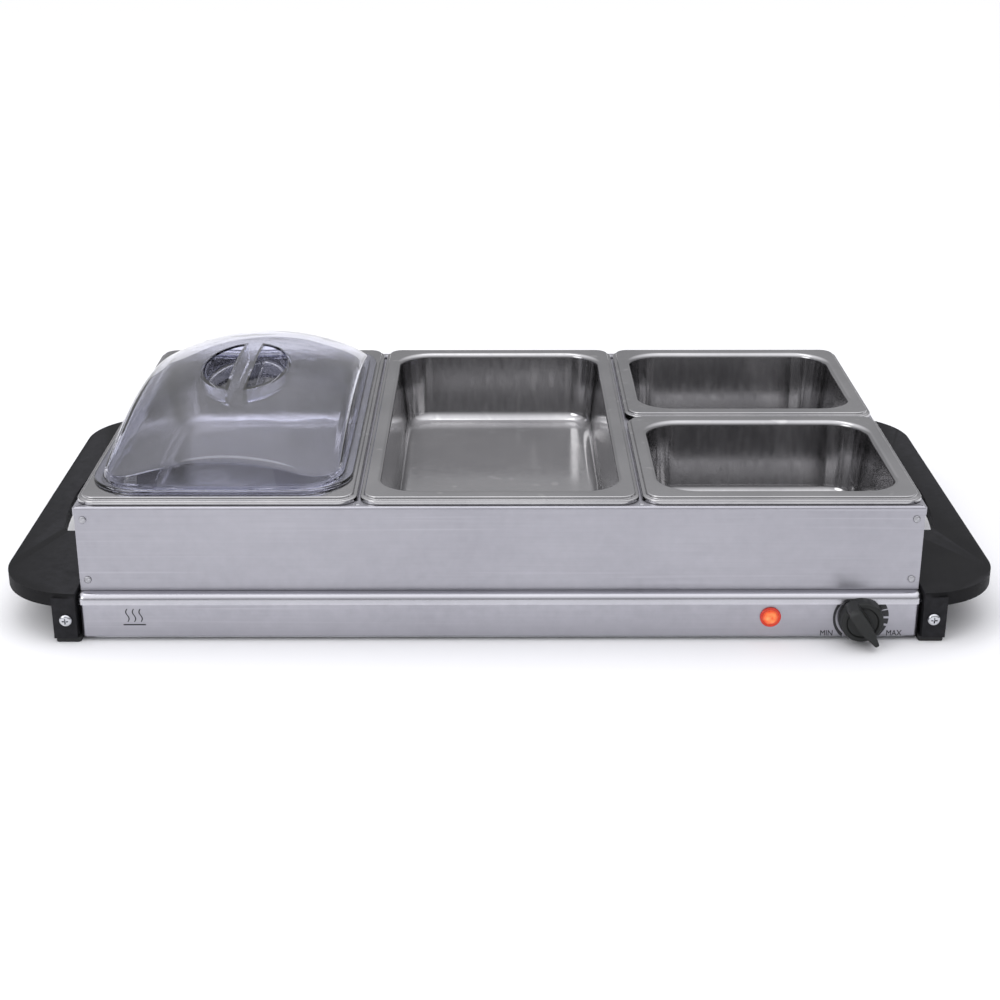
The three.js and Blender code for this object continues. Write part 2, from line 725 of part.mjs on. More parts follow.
// The dome's surface, from its wall up to its crown. `drop` moves it inwards and down by that much.
function domeLevels(drop) {
  const onDome = (inset, radius, below) =>
    lidLevel(inset + drop, (x, y) => seat + domeHeight(x, y) - below - drop, radius);
  return [
    onDome(11.6, 31, 4.2),
    onDome(15, 30, 2),
    onDome(20, 28, 0.5),
    onDome(27, 24, 0),
    onDome(48, 16, 0),
    onDome(72, 10, 0),
  ];
}

function dome() {
  return pressed([
    ...domeLevels(lidThickness).reverse(),
    lidLevel(15.4, seat - plugDepth, 27),
    lidLevel(13.6, seat - plugDepth, 29),
    lidLevel(13.2, seat, 30),
    lidLevel(lidInset, seat, 34),
    lidLevel(lidInset, seat + lidThickness - 0.5, 34),
    lidLevel(lidInset + 0.5, seat + lidThickness, 33.5),
    lidLevel(9.6, seat + lidThickness, 32),
    ...domeLevels(0),
  ]);
}

// An upright column with an oval section.
function ovalColumn(halfX, halfY, z0, z1) {
  const oval = new THREE.Shape();
  oval.absellipse(0, 0, halfX, halfY, 0, 2 * Math.PI, false, 0);
  return slab(oval, z0, z1, 20);
}

// The lid: a dome with an oval well in its crown, and a bar down the well's middle to lift it by.
function lid() {
  const above = seat + 60;
  const solidDome = pressed([lidLevel(9.6, seat, 32), ...domeLevels(0)]);
  const well = common(ovalColumn(gripOvalX, gripOvalY, seat + pocketFloor - lidThickness, above), solidDome);
  const pockets = cut(
    ovalColumn(gripOvalX - lidThickness, gripOvalY - lidThickness, seat + pocketFloor, above),
    block([-gripBarHalf, -80, 0], [gripBarHalf, 80, above + 1]),
  );
  const insideBar = gripBarHalf - lidThickness;
  const barEnd = gripOvalY - 10;
  const barHollow = block([-insideBar, -barEnd, seat - 5], [insideBar, barEnd, seat + lidCrown - 4]);
  return cut(join(dome(), well), pockets, barHollow).translate(-column, 0, 0);
}

// ---------------------------------------------------------------- assembly

add("warming_plate", warmingPlate(), brushedSteel);
add("base_housing", baseHousing(), brushedSteel);
add("bottom_cover", bottomCover(), zincSteel);
add("heating_element", heatingElement(), elementSheath);
[["front", 0], ["middle", 2], ["rear", 3]].forEach(([place, run]) => {
  add(`element_clip_${place}`, elementClip(-60, elementRuns[run]), zincSteel);
});
add("heat_shield", heatShield(), aluminium);
add("thermostat_body", thermostatBody(), whiteCeramic);
add("thermostat_bracket", thermostatBracket(), zincSteel);
add("thermostat_screw_left", thermostatScrew(thermostatScrewPlaces[0]), screwSteel);
add("thermostat_screw_right", thermostatScrew(thermostatScrewPlaces[1]), screwSteel);
add("thermostat_shaft", thermostatShaft(), zincSteel);
add("control_knob", controlKnob(), knobPlastic);
add("indicator_lens", indicatorLens(), redLens);
add("indicator_body", indicatorBody(), whiteCeramic);
add("indicator_nut", indicatorNut(), zincSteel);
add("terminal_block", terminalBlock(), whiteCeramic);
add("thermal_fuse", thermalFuse(), zincSteel);
add("cord_bush", cordBush(), blackRubber);
const wireColours = {
  live_wire: wireRed,
  fuse_wire: wireRed,
  neutral_wire: wireBlue,
  earth_wire: wireGreen,
  lamp_wire: wireBlue,
};
for (const [name, route] of Object.entries(wires)) {
  add(name, tube(route, wireRadius, 24), wireColours[name]);
}

add("handle_right", handle(), blackPlastic);
add("handle_left", mirroredX(handle()), blackPlastic);
const corners = {
  front_right: (piece) => piece,
  front_left: mirroredX,
  rear_right: mirroredY,
  rear_left: (piece) => mirroredX(mirroredY(piece)),
};
for (const [corner, place] of Object.entries(corners)) {
  add(`handle_screw_${corner}`, place(handleScrew()), screwSteel);
  add(`foot_pad_${corner}`, place(footPad()), blackRubber);
}
coverScrewPlaces.forEach(([x, y]) => {
  const place = `${y < 0 ? "front" : "rear"}_${x < 0 ? "left" : "right"}`;
  add(`cover_screw_${place}`, coverScrew(x, y), screwSteel);
});

add("frame_front_panel", longPanel(), brushedSteel);
add("frame_rear_panel", mirroredY(longPanel()), brushedSteel);
add("frame_left_panel", sidePanel(), brushedSteel);
add("frame_right_panel", mirroredX(sidePanel()), brushedSteel);
const dividerHalfWidth = 6;
const dividerReach = frameHalfY - 2 * sheet - 2 * gap;
[["left", -column / 2], ["right", column / 2]].forEach(([place, x]) => {
  const channel = divider(dividerHalfWidth, -dividerReach, dividerReach).translate(x, 0, 0);
  add(`divider_${place}`, channel, brushedSteel);
});
const crossFrom = column / 2 + dividerHalfWidth + gap;
const crossTo = frameHalfX - sheet - gap;
add("divider_cross", divider(dividerHalfWidth, crossFrom, crossTo, true), brushedSteel);
rivetHeights.forEach((z, row) => {
  const height = row === 0 ? "lower" : "upper";
  add(`rivet_front_left_${height}`, rivet(z), screwSteel);
  add(`rivet_front_right_${height}`, mirroredX(rivet(z)), screwSteel);
  add(`rivet_rear_left_${height}`, mirroredY(rivet(z)), screwSteel);
  add(`rivet_rear_right_${height}`, mirroredX(mirroredY(rivet(z))), screwSteel);
});

const halfPanY = (halfPanDepth + panSpacing) / 2;
add("pan_left", pan(panDepth).translate(-column, 0, 0), drawnSteel);
add("pan_middle", pan(panDepth), drawnSteel);
add("pan_right_rear", pan(halfPanDepth).translate(column, halfPanY, 0), drawnSteel);
add("pan_right_front", pan(halfPanDepth).translate(column, -halfPanY, 0), drawnSteel);
add("dome_lid", lid(), clearPlastic);

// The knob reaches further forward than the cord bush reaches back.
server.position.y = (gripFront - bushRear) / 2;

export default server;
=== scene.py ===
import json
import math

import bmesh
import bpy
from mathutils import Matrix, Vector


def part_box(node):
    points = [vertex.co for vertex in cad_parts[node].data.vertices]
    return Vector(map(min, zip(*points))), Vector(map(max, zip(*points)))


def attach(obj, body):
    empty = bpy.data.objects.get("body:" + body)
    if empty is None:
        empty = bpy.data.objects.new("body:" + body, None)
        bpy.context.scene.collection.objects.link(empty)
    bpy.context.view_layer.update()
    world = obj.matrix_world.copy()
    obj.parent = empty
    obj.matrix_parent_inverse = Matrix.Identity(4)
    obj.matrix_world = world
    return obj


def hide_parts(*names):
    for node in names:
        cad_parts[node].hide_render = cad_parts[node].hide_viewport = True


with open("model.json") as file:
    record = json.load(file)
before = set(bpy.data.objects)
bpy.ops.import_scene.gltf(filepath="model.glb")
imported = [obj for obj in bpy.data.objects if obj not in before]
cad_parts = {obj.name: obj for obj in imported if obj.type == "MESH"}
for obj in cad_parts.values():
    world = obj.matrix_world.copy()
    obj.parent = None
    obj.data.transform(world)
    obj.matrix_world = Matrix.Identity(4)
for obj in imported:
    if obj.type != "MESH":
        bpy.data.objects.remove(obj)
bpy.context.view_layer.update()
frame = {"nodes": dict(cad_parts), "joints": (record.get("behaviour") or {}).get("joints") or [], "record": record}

# The studio: a camera above the front edge and a plain pale floor under a soft white ceiling that
# darkens towards the walls, with one soft box overhead and one at the front left.
CAMERA_PLACE = (-0.0027, -1.1787, 0.4966)
CAMERA_TILT = 68.461
CAMERA_TURN = -0.156
CAMERA_LENS = 63.32
CAMERA_SENSOR = 36.0
FLOOR_SIZE = 40.0
FLOOR_WHITE = (0.9, 0.9, 0.91, 1.0)
ROOM_WHITE = (0.97, 0.97, 1.0, 1.0)
WALL_LIGHT = 0.42
WALL_TOP = 0.30
CEILING_LIGHT = 1.72
CEILING_START = 0.95


def let_go():
    """Leaves edit mode with nothing selected, so that the next operator meets only its own piece."""
    if bpy.context.object and bpy.context.object.mode != "OBJECT":
        bpy.ops.object.mode_set(mode="OBJECT")
    bpy.ops.object.select_all(action="DESELECT")


def take(piece, *others):
    """Selects a piece, and any others with it, and makes it the one that operators work on."""
    let_go()
    for each in (piece, *others):
        each.select_set(True)
    bpy.context.view_layer.objects.active = piece


def soft_box(name, place, aim, width, depth, power):
    """An oval white lamp at a place, turned to face a point."""
    let_go()
    turn = (Vector(aim) - Vector(place)).to_track_quat("-Z", "Y").to_euler()
    bpy.ops.object.light_add(type="AREA", location=place, rotation=turn)
    lamp = bpy.context.object
    lamp.name = name
    lamp.data.shape = "ELLIPSE"
    lamp.data.size = width
    lamp.data.size_y = depth
    lamp.data.energy = power


def ramp(tree, source, start, end, low=0.0, high=1.0):
    """Brings a value that runs from a start to an end to the range from low to high."""
    node = tree.nodes.new("ShaderNodeMapRange")
    node.inputs["From Min"].default_value = start
    node.inputs["From Max"].default_value = end
    node.inputs["To Min"].default_value = low
    node.inputs["To Max"].default_value = high
    tree.links.new(source, node.inputs["Value"])
    return node.outputs["Result"]


let_go()
tilt = (math.radians(CAMERA_TILT), 0.0, math.radians(CAMERA_TURN))
bpy.ops.object.camera_add(location=CAMERA_PLACE, rotation=tilt)
camera = bpy.context.object
camera.data.lens = CAMERA_LENS
camera.data.sensor_width = CAMERA_SENSOR
bpy.context.scene.camera = camera
bpy.context.scene.view_settings.view_transform = "Standard"

let_go()
bpy.ops.mesh.primitive_plane_add(size=FLOOR_SIZE, location=(0.0, 0.0, 0.0))
floor = bpy.context.object
floor.name = "floor"
floor_paint = bpy.data.materials.new("floor_paint")
floor_paint.use_nodes = True
floor_shader = floor_paint.node_tree.nodes["Principled BSDF"]
floor_shader.inputs["Base Color"].default_value = FLOOR_WHITE
floor_shader.inputs["Roughness"].default_value = 0.75
floor_shader.inputs["Specular IOR Level"].default_value = 0.15
floor.data.materials.append(floor_paint)

world = bpy.data.worlds.new("studio")
bpy.context.scene.world = world
world.use_nodes = True
room = world.node_tree
direction = room.nodes.new("ShaderNodeTexCoord")
up = room.nodes.new("ShaderNodeSeparateXYZ")
room.links.new(direction.outputs["Generated"], up.inputs[0])
brightness = ramp(room, up.outputs["Z"], WALL_TOP, CEILING_START, WALL_LIGHT, CEILING_LIGHT)
sky = room.nodes["Background"]
sky.inputs["Color"].default_value = ROOM_WHITE
room.links.new(brightness, sky.inputs["Strength"])

soft_box("overhead_box", place=(-0.25, 0.35, 1.7), aim=(0.0, 0.0, 0.05), width=1.4, depth=0.5, power=2.5)
soft_box("left_box", place=(-1.2, -1.1, 0.8), aim=(-0.40, -0.45, 0.0), width=1.1, depth=1.1, power=6.0)

# Warming plate: one pressing of brushed stainless sheet with a raised middle, a level ledge,
# a rounded edge and a short skirt that drops over the housing.
MM = 0.001
TOUCH = 0.01 * MM
PLATE_SHEET = 1.0 * MM
PLATE_CORNER = 5.2 * MM
PLATE_EDGE = 4.5 * MM
PLATEAU_INSET = 12.0 * MM
PLATEAU_RISE = 1.5 * MM
PLATEAU_CORNER = 12.0 * MM
BRUSHED = (0.42, 0.416, 0.452)
BRUSHED_DARK = (0.345, 0.341, 0.375)
BRUSHED_ROUGH = (0.30, 0.44)
GRAIN_ALONG_X = (12.0, 900.0, 900.0)
GRAIN_ALONG_Y = (900.0, 12.0, 900.0)


def rounded_blank(name, low, high, z, radius, steps=8):
    """A flat rounded rectangle between two corners, in edit mode with its one face selected."""
    let_go()
    middle = ((low[0] + high[0]) / 2, (low[1] + high[1]) / 2, z)
    bpy.ops.mesh.primitive_plane_add(size=1.0, location=middle)
    blank = bpy.context.object
    blank.name = name
    blank.data.name = name
    blank.scale = (high[0] - low[0], high[1] - low[1], 1.0)
    bpy.ops.object.transform_apply(location=True, rotation=True, scale=True)
    bpy.ops.object.mode_set(mode="EDIT")
    bpy.ops.mesh.select_all(action="SELECT")
    bpy.ops.mesh.bevel(affect="VERTICES", offset=radius, segments=steps)
    bpy.ops.mesh.select_all(action="SELECT")
    return blank


def go(inward, ahead):
    """Takes the selected face inwards and along its own normal, leaving a band behind it."""
    least = 0.001 * MM
    bpy.ops.mesh.inset(thickness=max(inward, least), depth=ahead)


def roll(radius, start, end, steps=5):
    """Takes the selected face round a bend: 90 degrees is straight ahead, 0 level and inwards."""
    sense = 1 if end > start else -1
    for step in range(steps):
        a = math.radians(start + (end - start) * step / steps)
        b = math.radians(start + (end - start) * (step + 1) / steps)
        inward = sense * radius * (math.sin(b) - math.sin(a))
        ahead = sense * radius * (math.cos(a) - math.cos(b))
        go(inward, ahead)


def choose(piece, kind, test):
    """Selects the faces, edges or vertices of a piece in edit mode that pass a test, by place."""
    mesh = bmesh.from_edit_mesh(piece.data)
    for group in (mesh.verts, mesh.edges, mesh.faces):
        for part in group:
            part.select = False
    bpy.ops.mesh.select_mode(type=kind)
    mesh = bmesh.from_edit_mesh(piece.data)
    parts = {"VERT": mesh.verts, "EDGE": mesh.edges, "FACE": mesh.faces}[kind]
    for part in parts:
        part.select_set(bool(test(part)))
    bmesh.update_edit_mesh(piece.data)


def change_corner(piece, low, high, radius, z, steps=8):
    """Bridges the selected face's edge to a new rounded rectangle, whose face is left selected."""
    mesh = bmesh.from_edit_mesh(piece.data)
    old_z = next(face for face in mesh.faces if face.select).verts[0].co.z
    bpy.ops.mesh.delete(type="ONLY_FACE")
    bpy.ops.mesh.select_all(action="DESELECT")
    middle = ((low[0] + high[0]) / 2, (low[1] + high[1]) / 2, z)
    bpy.ops.mesh.primitive_plane_add(size=1.0, location=middle)
    bpy.ops.transform.resize(value=(high[0] - low[0], high[1] - low[1], 1.0), center_override=middle)
    bpy.ops.mesh.bevel(affect="VERTICES", offset=radius, segments=steps)
    bpy.ops.mesh.delete(type="ONLY_FACE")

    def is_level(edge, level):
        return all(abs(vertex.co.z - level) < TOUCH for vertex in edge.verts)

    choose(piece, "EDGE", lambda e: not e.link_faces or (len(e.link_faces) == 1 and is_level(e, old_z)))
    if abs(z - old_z) < TOUCH:
        bpy.ops.mesh.fill()
    else:
        bpy.ops.mesh.bridge_edge_loops()
    choose(piece, "EDGE", lambda e: len(e.link_faces) == 1 and is_level(e, z) and all(
        abs(v.co[i] - middle[i]) < (high[i] - low[i]) / 2 + TOUCH for v in e.verts for i in (0, 1)))
    bpy.ops.mesh.edge_face_add()
    choose(piece, "FACE", lambda f: f.normal.z < -0.9 and all(is_level(e, z) for e in f.edges))
    bpy.ops.mesh.flip_normals()
    choose(piece, "FACE", lambda f: len(f.verts) == 4 * (steps + 1) and all(is_level(e, z) for e in f.edges))


def modify(piece, kind, **settings):
    """Adds one modifier with these settings and applies it."""
    take(piece)
    bpy.ops.object.modifier_add(type=kind)
    modifier = piece.modifiers[-1]
    for setting, value in settings.items():
        setattr(modifier, setting, value)
    bpy.ops.object.modifier_apply(modifier=modifier.name)


def smooth(piece, angle=32.0):
    """Smooth shading up to an angle, with the flats kept flat."""
    take(piece)
    bpy.ops.object.shade_smooth_by_angle(angle=math.radians(angle))
    modify(piece, "WEIGHTED_NORMAL", keep_sharp=True)


def fit(piece, body, slot_name, material, *nodes):
    """Gives a finished piece its material and its body, and hides the CAD nodes that it stands for."""
    piece.data.materials.clear()
    piece.data.materials.append(material)
    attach(piece, body)
    if nodes:
        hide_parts(*nodes)


def new_group(name, inputs, outputs):
    """An empty shader group with named sockets; returns its tree and its two end nodes."""
    tree = bpy.data.node_groups.new(name, "ShaderNodeTree")
    for label, kind in inputs:
        tree.interface.new_socket(name=label, in_out="INPUT", socket_type=kind)
    for label, kind in outputs:
        tree.interface.new_socket(name=label, in_out="OUTPUT", socket_type=kind)
    return tree, tree.nodes.new("NodeGroupInput"), tree.nodes.new("NodeGroupOutput")


VECTOR = "NodeSocketVector"
FLOAT = "NodeSocketFloat"

# Brushing: fine lines drawn out along the grain, broad patches, and sparse longer scratches.
brushing, brush_in, brush_out = new_group(
    "brushing",
    [("Place", VECTOR), ("Grain", VECTOR), ("Patch Scale", FLOAT)],
    [("Lines", FLOAT), ("Patches", FLOAT), ("Scratches", FLOAT)],
)
drawn_out = brushing.nodes.new("ShaderNodeVectorMath")
drawn_out.operation = "MULTIPLY"
brushing.links.new(brush_in.outputs["Place"], drawn_out.inputs[0])
brushing.links.new(brush_in.outputs["Grain"], drawn_out.inputs[1])
lines = brushing.nodes.new("ShaderNodeTexNoise")
lines.inputs["Scale"].default_value = 1.0
lines.inputs["Detail"].default_value = 4.0
brushing.links.new(drawn_out.outputs[0], lines.inputs["Vector"])
patches = brushing.nodes.new("ShaderNodeTexNoise")
patches.inputs["Detail"].default_value = 2.0
brushing.links.new(brush_in.outputs["Place"], patches.inputs["Vector"])
brushing.links.new(brush_in.outputs["Patch Scale"], patches.inputs["Scale"])
scratch_noise = brushing.nodes.new("ShaderNodeTexNoise")
scratch_noise.inputs["Scale"].default_value = 0.35
scratch_noise.inputs["Detail"].default_value = 1.0
brushing.links.new(drawn_out.outputs[0], scratch_noise.inputs["Vector"])
scratches = ramp(brushing, scratch_noise.outputs["Fac"], 0.66, 0.74)
brushing.links.new(lines.outputs["Fac"], brush_out.inputs["Lines"])
brushing.links.new(patches.outputs["Fac"], brush_out.inputs["Patches"])
brushing.links.new(scratches, brush_out.inputs["Scratches"])

# Edge wear: the outside edges of a piece, broken up by a noise.
edge_wear, wear_in, wear_out = new_group(
    "edge_wear", [("Place", VECTOR), ("Break Up", FLOAT)], [("Worn", FLOAT)]
)
shape = edge_wear.nodes.new("ShaderNodeNewGeometry")
sharp = ramp(edge_wear, shape.outputs["Pointiness"], 0.52, 0.62)
ragged = edge_wear.nodes.new("ShaderNodeTexNoise")
ragged.inputs["Detail"].default_value = 3.0
edge_wear.links.new(wear_in.outputs["Place"], ragged.inputs["Vector"])
edge_wear.links.new(wear_in.outputs["Break Up"], ragged.inputs["Scale"])
worn = edge_wear.nodes.new("ShaderNodeMath")
worn.operation = "MULTIPLY"
edge_wear.links.new(sharp, worn.inputs[0])
edge_wear.links.new(ragged.outputs["Fac"], worn.inputs[1])
edge_wear.links.new(worn.outputs[0], wear_out.inputs["Worn"])


def use_group(tree, group, place, **values):
    """Places a shared effect in a material and sets its values; Grain may be three numbers."""
    node = tree.nodes.new("ShaderNodeGroup")
    node.node_tree = group
    tree.links.new(place, node.inputs["Place"])
    for label, value in values.items():
        node.inputs[label.replace("_", " ")].default_value = value
    return node


def blank_material(name):
    """A new material; returns it with its tree, its shader and its object coordinates."""
    material = bpy.data.materials.new(name)
    material.use_nodes = True
    tree = material.node_tree
    coordinates = tree.nodes.new("ShaderNodeTexCoord")
    return material, tree, tree.nodes["Principled BSDF"], coordinates.outputs["Object"]


def spread(tree, source, low, high):
    """Brings a noise mask, which keeps to the middle of 0 to 1, to a range."""
    return ramp(tree, source, 0.25, 0.75, low, high)


def blend_colours(tree, mask, first, second):
    """Mixes two colours, or a colour and a socket, by a mask."""
    node = tree.nodes.new("ShaderNodeMix")
    node.data_type = "RGBA"
    tree.links.new(mask, node.inputs["Factor"])
    for socket, colour in ((node.inputs["A"], first), (node.inputs["B"], second)):
        if isinstance(colour, tuple):
            socket.default_value = (*colour, 1.0)
        else:
            tree.links.new(colour, socket)
    return node.outputs["Result"]


def add_bump(tree, shader, height, depth):
    """Bump from a height mask, depth in metres."""
    bump = tree.nodes.new("ShaderNodeBump")
    bump.inputs["Distance"].default_value = depth
    tree.links.new(height, bump.inputs["Height"])
    tree.links.new(bump.outputs["Normal"], shader.inputs["Normal"])


def metal(name, light, dark, rough, grain, relief, patch_scale=9.0):
    """Sheet or bar metal: grain is the line pattern's scale along x, y and z, per metre."""
    material, tree, shader, place = blank_material(name)
    brushed = use_group(tree, brushing, place, Grain=grain, Patch_Scale=patch_scale)
    wear = use_group(tree, edge_wear, place, Break_Up=160.0)
    tone = spread(tree, brushed.outputs["Patches"], 0.0, 1.0)
    body = blend_colours(tree, tone, dark, light)
    streaked = blend_colours(tree, spread(tree, brushed.outputs["Lines"], 0.0, 0.35), body, dark)
    scored = blend_colours(tree, brushed.outputs["Scratches"], streaked, light)
    edged = blend_colours(tree, wear.outputs["Worn"], scored, tuple(min(1.0, c * 1.25) for c in light))
    tree.links.new(edged, shader.inputs["Base Color"])
    roughness = spread(tree, brushed.outputs["Lines"], rough[0], rough[1])
    tree.links.new(roughness, shader.inputs["Roughness"])
    shader.inputs["Metallic"].default_value = 1.0
    add_bump(tree, shader, brushed.outputs["Lines"], relief)
    return material


brushed_along_x = metal("steel_brushed_lengthwise", BRUSHED, BRUSHED_DARK, BRUSHED_ROUGH,
                        GRAIN_ALONG_X, 0.02 * MM)
brushed_along_y = metal("steel_brushed_crosswise", BRUSHED, BRUSHED_DARK, BRUSHED_ROUGH,
                        GRAIN_ALONG_Y, 0.02 * MM)
# The plate's steel is a lighter copy of the brushed steel. This is painted highlight, so that the rounded ledge
# reads as a bright reflected band. It is also less rough.
plate_steel_painted_highlight = metal("steel_brushed_plate_painted_highlight", (0.53, 0.527, 0.56), (0.45, 0.447, 0.48), (0.18, 0.30),
                    GRAIN_ALONG_X, 0.012 * MM)

plate_low, plate_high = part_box("warming_plate")
warming_plate = rounded_blank("warming_plate_skin", plate_low, plate_high, plate_low.z, PLATE_CORNER)
plate_rise = plate_high.z - PLATEAU_RISE - plate_low.z
go(0.0, plate_rise - PLATE_EDGE)
roll(PLATE_EDGE, 90, 0, 6)
change_corner(
    warming_plate,
    (plate_low.x + PLATEAU_INSET, plate_low.y + PLATEAU_INSET),
    (plate_high.x - PLATEAU_INSET, plate_high.y - PLATEAU_INSET),
    PLATEAU_CORNER, plate_high.z - PLATEAU_RISE,
)
roll(PLATEAU_RISE, 0, 60, 3)
roll(PLATEAU_RISE, 60, 0, 3)
modify(warming_plate, "SOLIDIFY", thickness=PLATE_SHEET, offset=-1.0)
smooth(warming_plate)
fit(warming_plate, "base", "brushed_steel", plate_steel_painted_highlight, "warming_plate")

# Housing: a folded stainless band under the plate. Its front is the control fascia, and its bottom
# edge is turned in as a flange that carries the cover plate.
HOUSING_STEP = 1.5 * MM
HOUSING_CORNER = 3.6 * MM
HOUSING_TOP = 29.0 * MM
HOUSING_BEND = 1.4 * MM
HOUSING_FLANGE = 10.0 * MM

middle_y = (plate_low.y + plate_high.y) / 2
housing_low = Vector((plate_low.x + HOUSING_STEP, plate_low.y + HOUSING_STEP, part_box("base_housing")[0].z))
housing_high = Vector((plate_high.x - HOUSING_STEP, plate_high.y - HOUSING_STEP, HOUSING_TOP))
housing = rounded_blank("base_housing_skin", housing_low, housing_high, housing_low.z, HOUSING_CORNER)
go(0.0, HOUSING_TOP - housing_low.z - HOUSING_BEND)
roll(HOUSING_BEND, 90, 0)
change_corner(
    housing,
    (housing_low.x + HOUSING_FLANGE, housing_low.y + HOUSING_FLANGE),
    (housing_high.x - HOUSING_FLANGE, housing_high.y - HOUSING_FLANGE),
    HOUSING_CORNER, HOUSING_TOP,
)
bpy.ops.mesh.delete(type="ONLY_FACE")
let_go()
# It is drawn with its flange uppermost, so it is now turned over.
upside_down = Matrix.Scale(-1.0, 4, (0, 0, 1))
back_up = Matrix.Translation((0.0, 0.0, HOUSING_TOP + housing_low.z))
housing.data.transform(back_up @ upside_down)
housing.data.flip_normals()
modify(housing, "SOLIDIFY", thickness=PLATE_SHEET, offset=-1.0)
smooth(housing)
fit(housing, "base", "brushed_steel", brushed_along_x, "base_housing")

# Inside the housing and under it: zinc-plated, aluminium, ceramic, sheathed and insulated parts.
# They are plain bought-in parts, so they keep their own shapes and get their finishes here.
MOULDED_PATCHES = 40.0
zinc = metal("steel_zinc_plated", (0.62, 0.63, 0.66), (0.47, 0.48, 0.50), (0.36, 0.58), (60.0, 60.0, 60.0),
             0.02 * MM, patch_scale=70.0)
rolled_aluminium = metal("aluminium_rolled", (0.78, 0.79, 0.80), (0.68, 0.69, 0.70), (0.30, 0.46),
                         (15.0, 500.0, 500.0), 0.02 * MM)
sheath = metal("element_sheath_oxidised", (0.16, 0.14, 0.13), (0.09, 0.08, 0.08), (0.5, 0.75),
               (300.0, 300.0, 300.0), 0.04 * MM, patch_scale=60.0)
plated_screw = metal("steel_nickel_plated", (0.66, 0.67, 0.69), (0.48, 0.49, 0.52), (0.08, 0.18),
                     (120.0, 120.0, 120.0), 0.01 * MM, patch_scale=180.0)


def moulded(name, light, dark, rough, texture, relief, worn_tone, gloss=0.5):
    """Plastic, rubber or ceramic: texture is the surface pattern's scale per metre."""
    material, tree, shader, place = blank_material(name)
    skin = use_group(tree, brushing, place, Grain=(texture, texture, texture), Patch_Scale=MOULDED_PATCHES)
    wear = use_group(tree, edge_wear, place, Break_Up=220.0)
    body = blend_colours(tree, spread(tree, skin.outputs["Patches"], 0.0, 1.0), dark, light)
    edged = blend_colours(tree, wear.outputs["Worn"], body, worn_tone)
    tree.links.new(edged, shader.inputs["Base Color"])
    tree.links.new(spread(tree, skin.outputs["Lines"], rough[0], rough[1]), shader.inputs["Roughness"])
    shader.inputs["Specular IOR Level"].default_value = gloss
    add_bump(tree, shader, skin.outputs["Lines"], relief)
    return material


ceramic = moulded("ceramic_unglazed", (0.82, 0.80, 0.74), (0.74, 0.71, 0.65), (0.5, 0.7), 700.0, 0.04 * MM,
                  (0.86, 0.84, 0.80))
red_insulation = moulded("insulation_red", (0.55, 0.08, 0.05), (0.45, 0.06, 0.04), (0.35, 0.5), 500.0,
                         0.02 * MM, (0.62, 0.16, 0.12))
blue_insulation = moulded("insulation_blue", (0.07, 0.18, 0.46), (0.05, 0.14, 0.38), (0.35, 0.5), 500.0,
                          0.02 * MM, (0.16, 0.27, 0.55))
green_insulation = moulded("insulation_green_yellow", (0.28, 0.46, 0.08), (0.22, 0.40, 0.06), (0.35, 0.5),
                           500.0, 0.02 * MM, (0.40, 0.55, 0.2))
handle_plastic = moulded("phenolic_black", (0.0095, 0.0095, 0.010), (0.006, 0.006, 0.007), (0.52, 0.68),
                         1500.0, 0.06 * MM, (0.030, 0.030, 0.034), gloss=0.12)
knob_plastic = moulded("knob_black", (0.018, 0.019, 0.018), (0.012, 0.013, 0.013), (0.36, 0.50),
                       1800.0, 0.03 * MM, (0.065, 0.067, 0.065), gloss=0.32)
rubber = moulded("rubber_black", (0.020, 0.020, 0.021), (0.014, 0.014, 0.015), (0.70, 0.88),
                 900.0, 0.08 * MM, (0.034, 0.034, 0.035))

FINISHES = {
    "brushed_steel": brushed_along_y,
    "drawn_steel": brushed_along_y,
    "zinc_steel": zinc,
    "aluminium": rolled_aluminium,
    "black_plastic": handle_plastic,
    "knob_plastic": knob_plastic,
    "black_rubber": rubber,
    "screw_steel": plated_screw,
    "element_sheath": sheath,
    "white_ceramic": ceramic,
    "red_insulation": red_insulation,
    "blue_insulation": blue_insulation,
    "green_insulation": green_insulation,
}
for subpart in frame["record"]["subparts"]:
    finish = FINISHES.get(subpart["material_slot"])
    node = frame["nodes"][subpart["node"]]
    if finish and node.data.materials:
        node.material_slots[0].material = finish

# Handles: one black moulding at each end, a flat bow with a hand slot and a leg under each end of
# it. The edges are rounded for the hand, and each leg is screwed to the housing from outside.
BOW_THICKNESS = 9.1 * MM
BOW_CORNER = 53.0 * MM
SLOT_INSET = 6.3 * MM
SLOT_WIDTH = 23.5 * MM
SLOT_HALF = 69.0 * MM
SLOT_BOW = 7.0 * MM
SLOT_CORNER = 4.0 * MM
LEG_WIDTH = 14.9 * MM
LEG_DEPTH = 22.0 * MM
LEG_INSET = 0.2 * MM
HANDLE_ROUNDING = 1.3 * MM


def block(name, low, high):
    """A box between two corners, as a start for shaping."""
    let_go()
    size = [b - a for a, b in zip(low, high)]
    bpy.ops.mesh.primitive_cube_add(size=1.0, location=[(a + b) / 2 for a, b in zip(low, high)])
    piece = bpy.context.object
    piece.name = name
    piece.data.name = name
    piece.scale = size
    bpy.ops.object.transform_apply(location=True, rotation=True, scale=True)
    return piece


def edit(piece):
    """Opens one piece in edit mode."""
    take(piece)
    bpy.ops.object.mode_set(mode="EDIT")


def combine(piece, tool, operation):
    """Joins a tool to a piece or cuts it away, and removes the tool."""
    modify(piece, "BOOLEAN", operation=operation, object=tool, solver="EXACT")
    bpy.data.objects.remove(tool)


def is_upright(edge, axis=2):
    """True if an edge runs along one axis."""
    run = edge.verts[1].co - edge.verts[0].co
    return abs(run[axis]) > 0.99 * run.length


def copied(piece, name):
    """A copy with its own mesh."""
    let_go()
    twin = piece.copy()
    twin.data = piece.data.copy()
    twin.name = name
    twin.data.name = name
    bpy.context.scene.collection.objects.link(twin)
    return twin


